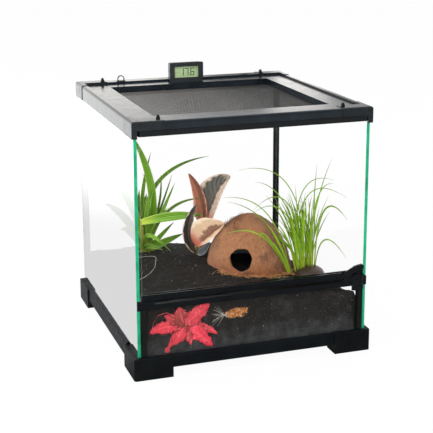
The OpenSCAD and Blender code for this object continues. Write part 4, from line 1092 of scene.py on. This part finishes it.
def coconut_hide():
    """Shell of two domes joined at the foot, with its doorway cut out."""
    build = Build()
    dome(build, HIDE_R - 0.6, HIDE_H - 0.8, 1.0, 0)
    inner, n = len(build.points), DOME_ROUND
    dome(build, HIDE_R - HIDE_T, HIDE_H - HIDE_T, 0.3, 1)
    build.faces += [[i, inner + i, inner + (i + 1) % n, (i + 1) % n] for i in range(n)]
    build.slots += [0] * n
    shell = build.finish("coconut_shell", "tank", [HUSK, SHELL_INSIDE], True,
                         ("coconut_hide",))
    away = spoke(HOLE_TURN, 1, 1)
    side = away.cross(UP)
    start = HIDE_AT + Vector((0, 0, HOLE_UP)) + away * HOLE_FROM
    points = []
    for reach in (0, HOLE_LONG):
        for a in turns(HOLE_SIDES):
            r = HOLE_R * (1 + 0.03 * math.sin(3 * a + 1) + 0.02 * math.sin(7 * a))
            points.append(start + away * reach + (side * math.cos(a) + UP * math.sin(a)) * r)
    ends = [list(range(HOLE_SIDES))[::-1], list(range(HOLE_SIDES, 2 * HOLE_SIDES))]
    cutter = Build()
    cutter.add(points, bands(2, HOLE_SIDES) + ends)
    tool = cutter.finish("hole_tool", "tank", [HUSK], False)
    cut = shell.modifiers.new("doorway", "BOOLEAN")
    cut.operation = "DIFFERENCE"
    cut.solver = "EXACT"
    cut.object = tool
    bpy.context.view_layer.update()
    done = bpy.data.meshes.new_from_object(shell.evaluated_get(bpy.context.evaluated_depsgraph_get()))
    shell.modifiers.clear()
    shell.data = done
    bpy.data.objects.remove(tool)


def on_dome(turn, up, lift):
    p = hide_point(turn, up, HIDE_R - 0.4, HIDE_H - 0.6)
    return HIDE_AT + p + outward(p) * lift


def coconut_fibres():
    """Loose fibres: over the shell, round its foot, under the doorway and in a tuft."""
    rng = random.Random(5)
    build = Build()
    for count, middle, *spans in HAIRS:
        for _ in range(count):
            turn, up, drop, swing, lift, radius = [rng.uniform(*span) for span in spans]
            turn += middle
            aside = abs(turn % (2 * math.pi) - HOLE_TURN % (2 * math.pi))
            if aside < HOLE_HALF and HOLE_FOOT < up < HOLE_HEAD:
                continue
            path = [on_dome(turn + swing * f, max(0.0, up - drop * f),
                            0.15 + lift * math.sin(math.pi * f * 0.8)) for f in QUARTERS]
            build.tube(path, radius, 3, radius * 0.4)
    for _ in range(TUFT_FIBRES):
        turn = rng.uniform(-math.pi * 1.15, -math.pi * 0.8)
        up = rng.uniform(0.6, 0.9)
        path = []
        for k, f in enumerate(QUARTERS):
            lift = 0.1 + 4.6 * f * rng.uniform(0.4, 1)
            path.append(on_dome(turn + rng.uniform(-0.05, 0.05) * k, up + 0.05 * f, lift))
        build.tube(path, 0.24, 3, 0.08, 1)
    build.finish("coconut_fibres", "tank", [FIBRE, TUFT], False, ())


HUSK = coconut_husk(HIDE_AT)
TUFT = plain_varied("tuft_fibre", (84, 60, 44), (156, 118, 84), 3, 0.85, 0.05, 0.15)
# Painted light: the inside of the shell is a pale bluish grey, so that the dim doorway shows.
SHELL_INSIDE = two_tone("shell_inside", (104, 108, 114), 0.7, 0.3,
                        ((0.3, (84, 90, 100)), (0.75, (146, 140, 136))), (6, 5), (1.2, 5), 0.3)
coconut_hide()
coconut_fibres()


# ---------------------------------------------------------------- leaves

VIEW_SIDE = Vector((-0.3, -1.0, 0.35)).normalized()
TUFT_SHIFT = -3.0
GRASS_WIDTH = 0.62


def strap_form(t):
    return (0.6 + 1.2 * t) * (1 - t ** 2.2)


def broad_form(t):
    return 0.1 + 0.9 * math.sin(math.pi * t ** 0.85) ** 0.8 if 0 < t < 1 else 0.1


def leaf(build, start, tip, via, width, tone, form, fold, steps, across, thick, face=VIEW_SIDE,
         ruffle=0.0, jag=0.0, slot=0, twist=0.0, lean=0.0):
    """Curved blade whose midrib runs from start through via to tip; fold lifts its two halves, and
    lean is how much wider its left half is than the right one."""
    rows, along_values, across_values = [], [], []
    for i in range(steps + 1):
        t = i / steps
        p = bend(t, start, via, tip)
        ahead = ((via - start) * (1 - t) + (tip - via) * t).normalized()
        side = ahead.cross(face)
        side = side.normalized() if side.length > 1e-6 else ahead.cross(UP).normalized()
        if twist:
            side = Matrix.Rotation(twist * t, 3, ahead) @ side
        out = side.cross(ahead)
        half = max(0.12, width / 2 * form(t))
        row = []
        for j in range(across + 1):
            u = 2 * j / across - 1
            torn = 1 + jag * wave(t * 40, u * 3, tone * 9, 2.2) * abs(u)
            reach = half * u * (1 + lean * (-1 if u > 0 else 1)) * torn
            lift = fold * half * abs(u) ** 1.3 + ruffle * half * abs(u) * math.sin(t * 17 + 5 * tone)
            row.append(p + side * reach + out * lift)
            along_values.append(t)
            across_values.append(u)
        rows.append(row)
    build.sheet(rows, thick, slot, along=along_values, across=across_values,
                tone=[tone] * len(along_values))


# Kinds of blade: outline, fold, points along and across, thickness, and how its rim is shaped
STRAP_KIND = dict(form=strap_form, fold=0.3, steps=28, across=6, thick=0.5, ruffle=0.04)
SHORT_KIND = dict(form=strap_form, fold=0.35, steps=18, across=4, thick=0.5)
GRASS_KIND = dict(form=strap_form, fold=0.3, steps=24, across=2, thick=0.3)
THIN_KIND = dict(form=strap_form, fold=0.35, steps=16, across=2, thick=0.3)
RUBBER_KIND = dict(form=broad_form, steps=32, across=14, thick=0.7, ruffle=0.05)
PRESSED_KIND = dict(form=broad_form, fold=0.0, steps=30, across=12, thick=0.1,
                    face=Vector((0, -1, 0)), jag=0.55)
SHORT_BLADES = 10
PLUG_THREADS = 640
FAN_THREADS = 16
OLD_BASES = 46
THIN_BLADES = 64
STRAP_WIDEN = 1.15
RED_WIDEN = 1.12
STEM_LEAF = 8
STEM_TOP = (-10, -20, 48)
STRAP_TONES = (0.0, 0.1, 0.3, 0.6, 0.9)
# Leaves: tip and bend point from the plant's foot, then the full width
STRAP_LEAVES = [
    ((-20, -10, 168), (27, -5, 88), 10), ((12, 5, 136), (-12, 2, 66), 5),
    ((1, 12, 106), (25, 6, 76), 3), ((88, -10, 128), (-14, -3, 119), 5),
    ((26, 10, 103), (29, 5, 61), 3), ((41, 6, 103), (21, 3, 48), 3),
    ((42, -4, 94), (18, -2, 41), 5), ((61, -66, 86), (13, -33, 83), 4),
    ((61, -66, 64), (24, -42, 62), 11), ((35, -20, 44), (9, -10, 16), 6),
    ((23, -48, 12), (-14, -24, 55), 5), ((14, -40, 13), (-8, -20, 22), 6),
    ((60, 18, 15), (18, 9, 6), 9), ((-8, -6, 89), (-10, -3, 60), 6), ((6, 8, 79), (-5, 4, 56), 7),
    ((9, -10, 88), (0, -5, 63), 7), ((28, -14, 63), (7, -7, 31), 6),
    ((-50, -20, 110), (-15, -5, 80), 9), ((-52, 10, 70), (-25, 0, 60), 10),
    ((-40, 30, 118), (-12, 10, 70), 8), ((-45, -50, 50), (-25, -25, 46), 9)]
# The same, then how far right of the foot the blade starts
GRASS_BLADES = [
    ((-82, 24, 127), (1, 8, 145), 2.2, -3), ((-62, 20, 111), (-21, 6, 110), 2.2, -3),
    ((-109, 8, 98), (-42, -4, 104), 2.4, -21), ((-100, 16, 90), (-46, 4, 81), 2.4, -19),
    ((-67, 12, 78), (-13, 6, 131), 2.4, -6), ((-75, -4, 78), (-21, -2, 111), 2.4, -9),
    ((-49, 18, 94), (-19, 7, 60), 2.4, -15), ((14, 4, 131), (8, 2, 74), 2.6, 7),
    ((30, -6, 140), (4, -3, 80), 2.6, 4), ((30, -14, 114), (-23, 15, 132), 2.2, -9),
    ((41, -26, 94), (-22, 1, 140), 2.2, -11), ((27, -18, 111), (1, -7, 115), 2.6, 4),
    ((39, -34, 68), (9, -11, 119), 4, 10), ((39, -34, 18), (11, -15, 69), 3, 11),
    ((-117, -10, 55), (-62, -11, 78), 3, -24), ((-68, -12, 39), (-70, -12, 83), 2.6, -24),
    ((-67, -12, 54), (-45, -12, 34), 5, -21), ((-56, -6, 64), (-40, -5, 44), 4, -20),
    ((-54, -11, 45), (-40, -10, 28), 5, -22), ((-32, 6, 86), (-18, 3, 58), 3, -11),
    ((-23, 12, 92), (-11, 6, 59), 3, -7), ((-13, 8, 105), (-11, 4, 61), 3, -5),
    ((-4, -6, 92), (-8, -3, 56), 4, -2), ((5, 4, 83), (2, 2, 48), 4, 2),
    ((9, -4, 90), (5, -2, 54), 3, 4), ((-41, 2, 62), (-21, 1, 42), 4, -15),
    ((-27, -8, 72), (-15, -4, 46), 4, -12), ((-6, 2, 79), (-7, 1, 45), 5, -6),
    ((4, -8, 70), (2, -4, 43), 5, 7), ((-12, 10, 62), (-8, 5, 37), 4, -9)]
# Start of the blade, tip, bend point and full width
RUBBER_LEAVES = [
    ((6, 2, 30), (-10, 6, 108), (11, 4, 76), 16), ((12, 1, 34), (46, 4, 100), (14, 3, 84), 33),
    ((-12, -30, 21), (22, -42, 51), (3, -37, 38), 31), ((-5, -6, 4), (-3, -4, 69), (-27, -7, 34), 14),
    ((-4, -10, 4), (7, -27, 24), (1, -18, 8), 9), ((3, 6, 10), (22, 30, 34), (14, 20, 32), 16)]
# Which skin each leaf has, its fold and its lean
RUBBER_LOOKS = ((0, 0.5, 0.1), (1, 0.3, 0.38), (2, 0.3, 0.6), (3, 0.6, 0.0), (4, 0.4, 0.0), (1, 0.4, 0.0))
RED_AT = Vector((-85.5, -INNER.y + 0.45, 57.6))
# On the pane, across and up from RED_AT: tip, bend point, then the full width
RED_LEAVES = [
    ((30, 24), (12, 12), 17), ((-7, 24), (-6, 12), 17), ((-25, 15), (-12, 10), 13),
    ((-43, -4), (-24, 5), 15), ((-14, -22), (-7, -10), 16), ((-22, -27), (-15, -16), 8),
    ((8, -25), (3, -12), 9), ((34, -30), (17, -10), 17), ((40, -15), (22, -1), 10)]
# The rosette's bulb: its place, then the radius and the lump size of its two rings
BULB_AT = (-22, -28)
BULB_RINGS = ((2.6, 1.9), (1.0, 1.7))
RED_CURL = ((-10, 12), (-22, 19), (-32, 17), (-38, 9), (-40, 0))
RED_TONES = (0.35, 1.0, 0.8, 0.25, 0.3, 0.6, 0.8, 0.05, 0.5)


def planted(at):
    """Foot of a plant on the soil."""
    return Vector((at.x, at.y, soil_z(*at)))


def strap_plant():
    rng = random.Random(21)
    build = Build()
    foot = planted(STRAP_AT)
    stem_top = foot + Vector(STEM_TOP)
    for i, (tip, via, width) in enumerate(STRAP_LEAVES):
        start = stem_top if i == STEM_LEAF else foot + spoke(math.radians(40 * i), 3, 3, -1)
        leaf(build, start, foot + Vector(tip), foot + Vector(via), width * STRAP_WIDEN,
             rng.choice(STRAP_TONES), twist=rng.uniform(-0.3, 0.3), **STRAP_KIND)
    for i in range(SHORT_BLADES):
        angle = math.radians(67 * i + 15)
        reach = spoke(angle, 24, 16, rng.uniform(44, 88))
        via = foot + Vector((reach.x * 0.3, reach.y * 0.3, reach.z * 0.6))
        leaf(build, foot + spoke(angle, 5, 4, -1), foot + reach, via, rng.uniform(3, 5),
             rng.uniform(0.2, 1), **SHORT_KIND)
    build.tube([foot, foot + Vector(STEM_TOP) * 0.5, stem_top], 2.4, 8, 1.6, 1)
    for _ in range(OLD_BASES):
        turn = rng.uniform(0, 2 * math.pi)
        r = 8.5 * rng.uniform(0.2, 0.9)
        start = foot + spoke(turn, r, r, -1.5)
        end = start + Vector((rng.uniform(-4, 4), rng.uniform(-4, 4), rng.uniform(2, 7)))
        build.tube([start, (start + end) / 2 + UP, end], 0.8, 4, 0.3, 1)
    build.finish("strap_plant", "tank", [STRAP_GREEN, CROWN], True, ("strap_leaf_plant",))


def rubber_plant():
    rng = random.Random(8)
    build = Build()
    foot = planted(RUBBER_AT)
    for i, ((base, tip, via, width), (skin, fold, lean)) in enumerate(zip(RUBBER_LEAVES, RUBBER_LOOKS)):
        start = foot + Vector(base)
        leaf(build, start, foot + Vector(tip), foot + Vector(via), width, rng.uniform(0, 1),
             fold=fold, slot=skin, lean=lean, **RUBBER_KIND)
        root = foot + spoke(math.radians(60 * i), 2, 2, -2)
        build.tube([root, (root + start) / 2 + UP * 2, start], 1.3, 6, 1.0, len(RUBBER_SKINS))
    build.finish("rubber_plant", "tank", RUBBER_SKINS + [CROWN], True, ("rubber_leaf_plant",))


def tuft_ground(x, y, top, radius, center):
    """Height that a blade starts from: on the mound, or on the soil beside it."""
    r = math.hypot(x - center.x, y - center.y) / radius
    if r >= 1:
        return ground(x, y)
    return max(ground(x, y), top - 11 + 10 * math.sqrt(1 - r * r))


def grass_plant():
    rng = random.Random(33)
    build = Build()
    lo, hi = low("grass_plant_foot"), high("grass_plant_foot")
    center = (lo + hi) / 2
    radius = (hi.x - lo.x) / 2
    foot = Vector((center.x + TUFT_SHIFT, center.y, hi.z - 1.5))

    def rooted(dx, dy):
        x, y = foot.x + dx, foot.y + dy
        return Vector((x, y, tuft_ground(x, y, hi.z, radius, center) - 0.5))

    for i, (tip, via, width, shift) in enumerate(GRASS_BLADES):
        start = rooted(shift, 3 * math.sin(math.radians(50 * i)))
        leaf(build, start, foot + Vector(tip), foot + Vector(via), width * GRASS_WIDTH,
             rng.uniform(0, 0.8), twist=rng.uniform(-0.4, 0.4), **GRASS_KIND)
    for _ in range(THIN_BLADES):
        dx, dy = rng.uniform(-12, 8), rng.uniform(-5, 6)
        height = rng.uniform(40, 98)
        lean = dx * rng.uniform(0.6, 2.2) + rng.gauss(-7, 15)
        tip = Vector((max(-52, min(36, dx + lean)), dy + rng.uniform(-14, 16), height))
        via = Vector((dx + lean * 0.22, dy + 2, height * rng.uniform(0.55, 0.75)))
        leaf(build, rooted(dx, dy), foot + tip, foot + via, rng.uniform(1.0, 2.0),
             rng.uniform(0, 1), twist=rng.uniform(-0.5, 0.5), **THIN_KIND)
    build.finish("grass_tuft", "tank", [GRASS_GREEN], True, ("grass_plant",))


def stone_foot():
    """Smooth brown mound that narrows towards the tuft on its top."""
    lo, hi = low("grass_plant_foot"), high("grass_plant_foot")
    center = (lo + hi) / 2
    radius = (hi.x - lo.x) / 2
    n, rings = 64, 18
    points = []
    for j in range(rings):
        f = j / (rings - 1)
        for a in turns(n):
            r = radius * math.cos(f * math.pi / 2) ** 0.85 * (1 - 0.04 * (1 - f) * (1 + math.sin(2 * a)))
            r = max(r + 0.5 * wave(math.cos(a) * 9, math.sin(a) * 9, f * 9, 5) * (1 - f), 0.4)
            z = lo.z + 3 + (hi.z - lo.z - 3.2) * math.sin(f * math.pi / 2)
            points.append((center.x + r * math.cos(a), center.y + r * math.sin(a), z))
    base = len(points)
    faces = bands(rings, n) + [[base - n + i for i in range(n)]]
    faces += [[base + i, base + (i + 1) % n, (i + 1) % n, i] for i in range(n)]
    faces.append([base + i for i in range(n)][::-1])
    build = Build()
    build.add(points + [(x, y, lo.z) for x, y, z in points[:n]], faces)
    build.finish("brown_mound", "tank", [MOUND], True, ("grass_plant_foot",))


def red_rosette():
    """Leaves pressed flat between the lower pane and the soil."""
    rng = random.Random(4)
    build = Build()

    def against(x, back, z):
        """Point on the pane, across, behind and above the rosette's centre."""
        return RED_AT + Vector((x, back, z))

    for i, (tip, via, width) in enumerate(RED_LEAVES):
        back = 0.07 * i
        leaf(build, against(0, back + 0.1, 0), against(tip[0], back, tip[1]), against(via[0], back, via[1]),
             width * RED_WIDEN, RED_TONES[i], **PRESSED_KIND)
    for a in turns(7):
        build.crumb(against(2.0 * math.cos(a), 0.5, 2.0 * math.sin(a)), 1.0, rng, 1, 1)
    build.tube([against(x, 0.2, z) for x, z in RED_CURL], 0.5, 5, 0.25, 0, tone=0.3)
    for k, a in enumerate(turns(9)):
        for r, size in BULB_RINGS:
            x, z = BULB_AT[0] + r * math.cos(a), BULB_AT[1] + r * math.sin(a)
            build.crumb(against(x, 0.4 + 0.04 * k, z), size, rng)
    build.finish("red_rosette", "tank", [RED, RED_CENTRE], True, ("red_leaf_plant",))


def fibre_plug():
    """Matted root plug with pale threads that fan out to its left."""
    rng = random.Random(14)
    build = Build()
    lo, hi = low("fibre_plug"), high("fibre_plug")
    cx, cz = (lo.x + hi.x) / 2, (lo.z + hi.z) / 2
    front = FRONT_WALL - 0.15
    half_x, half_z = (hi.x - lo.x) / 2 - 1.5, (hi.z - lo.z) / 2 - 0.8
    for _ in range(PLUG_THREADS):
        x, z = rng.uniform(-1, 1), rng.uniform(-1, 1)
        if abs(x) ** 2.2 + abs(z) ** 2.2 > 0.85 + 0.7 * wave(x * 9, z * 9, 2, 4):
            continue
        start = Vector((cx + x * half_x, front + rng.uniform(-0.35, 0.4), cz + z * half_z))
        a = rng.uniform(0, math.pi)
        step = Vector((math.cos(a), 0, math.sin(a) * 0.7)) * rng.uniform(1.2, 2.6)
        mid = start + step + Vector((0, rng.uniform(-0.15, 0.15), rng.uniform(-0.8, 0.8)))
        path = [Vector((max(lo.x, min(hi.x, p.x)), max(-INNER.y + 0.3, p.y), max(lo.z, min(hi.z, p.z))))
                for p in (start, mid, start + step * 2)]
        build.tube(path, rng.uniform(0.18, 0.32), 3, 0.12, rng.choice((0, 0, 0, 2, 3)))
    # Dark block behind the threads: painted shade in the gaps between them.
    block(build, (lo.x + 7, front + 0.4, lo.z + 4), (hi.x - 7, hi.y, hi.z - 4), 2)
    for k in range(FAN_THREADS):
        a = math.pi + (k - 8) * 0.12 + rng.uniform(-0.06, 0.06)
        reach = rng.uniform(10, 24)
        start = Vector((lo.x + 4, front + 0.1, cz + (k - 8) * 0.5))
        sag = rng.uniform(-6, 1)
        path = [start + Vector((math.cos(a) * reach * f, 0, math.sin(a) * reach * f + sag * f * f))
                for f in QUARTERS]
        build.tube(path, 0.24, 3, 0.1, 1)
    build.finish("root_plug", "tank", [PLUG, WHITE_ROOT, PLUG_DARK, PLUG_PALE], False,
                 ("fibre_plug",))


STRAP_GREEN = blade_green("strap_green", (206, 226, 70), (112, 172, 28), (66, 124, 16), (222, 238, 140),
                          (40, 86, 8), 14)
GRASS_GREEN = blade_green("grass_green", (210, 240, 60), (158, 212, 40), (140, 168, 56),
                          (210, 236, 100), (84, 122, 18), 6)
CROWN = plain_varied("leaf_bases", (92, 108, 40), (170, 160, 80), 4, 0.6, 0.1)
MOUND = plain_varied("brown_mound", (58, 42, 36), (84, 62, 52), 16, 0.38, 0.15, 0.5)
RED = red_velvet()
RED_CENTRE = plain_varied("red_centre", (120, 92, 40), (182, 150, 70), 1.5, 0.7, 0.1)
PLUG = plain_varied("root_plug", (168, 96, 48), (236, 166, 98), 2.5, 0.85, 0.1, 0.15)
PLUG_PALE = plain_varied("plug_pale", (206, 158, 104), (244, 214, 170), 2.5, 0.85, 0.1, 0.15)
PLUG_DARK = plain_varied("plug_dark", (70, 44, 28), (112, 70, 44), 2.5, 0.9, 0.1, 0.15)
RUBBER_SKINS = [
    variegated_leaf("leaf_pink", (180, 118, 92), (118, 82, 66), (222, 150, 128), (188, 84, 62), 1),
    variegated_leaf("leaf_grey", (214, 188, 168), (74, 80, 72), (226, 200, 180),
                    (120, 100, 90), -1, -0.42, (214, 124, 92), 0.06),
    variegated_leaf("leaf_cream", (236, 200, 164), (140, 98, 76), (248, 228, 198),
                    (142, 52, 42), 0, 0.2, (196, 96, 76), 0.03),
    variegated_leaf("leaf_dark", (88, 76, 68), (54, 56, 54), (222, 200, 176), (120, 96, 84), -1),
    variegated_leaf("leaf_blue", (142, 152, 160), (104, 112, 118), (196, 200, 198), (170, 160, 150), 1)]
strap_plant()
rubber_plant()
grass_plant()
stone_foot()
red_rosette()
fibre_plug()
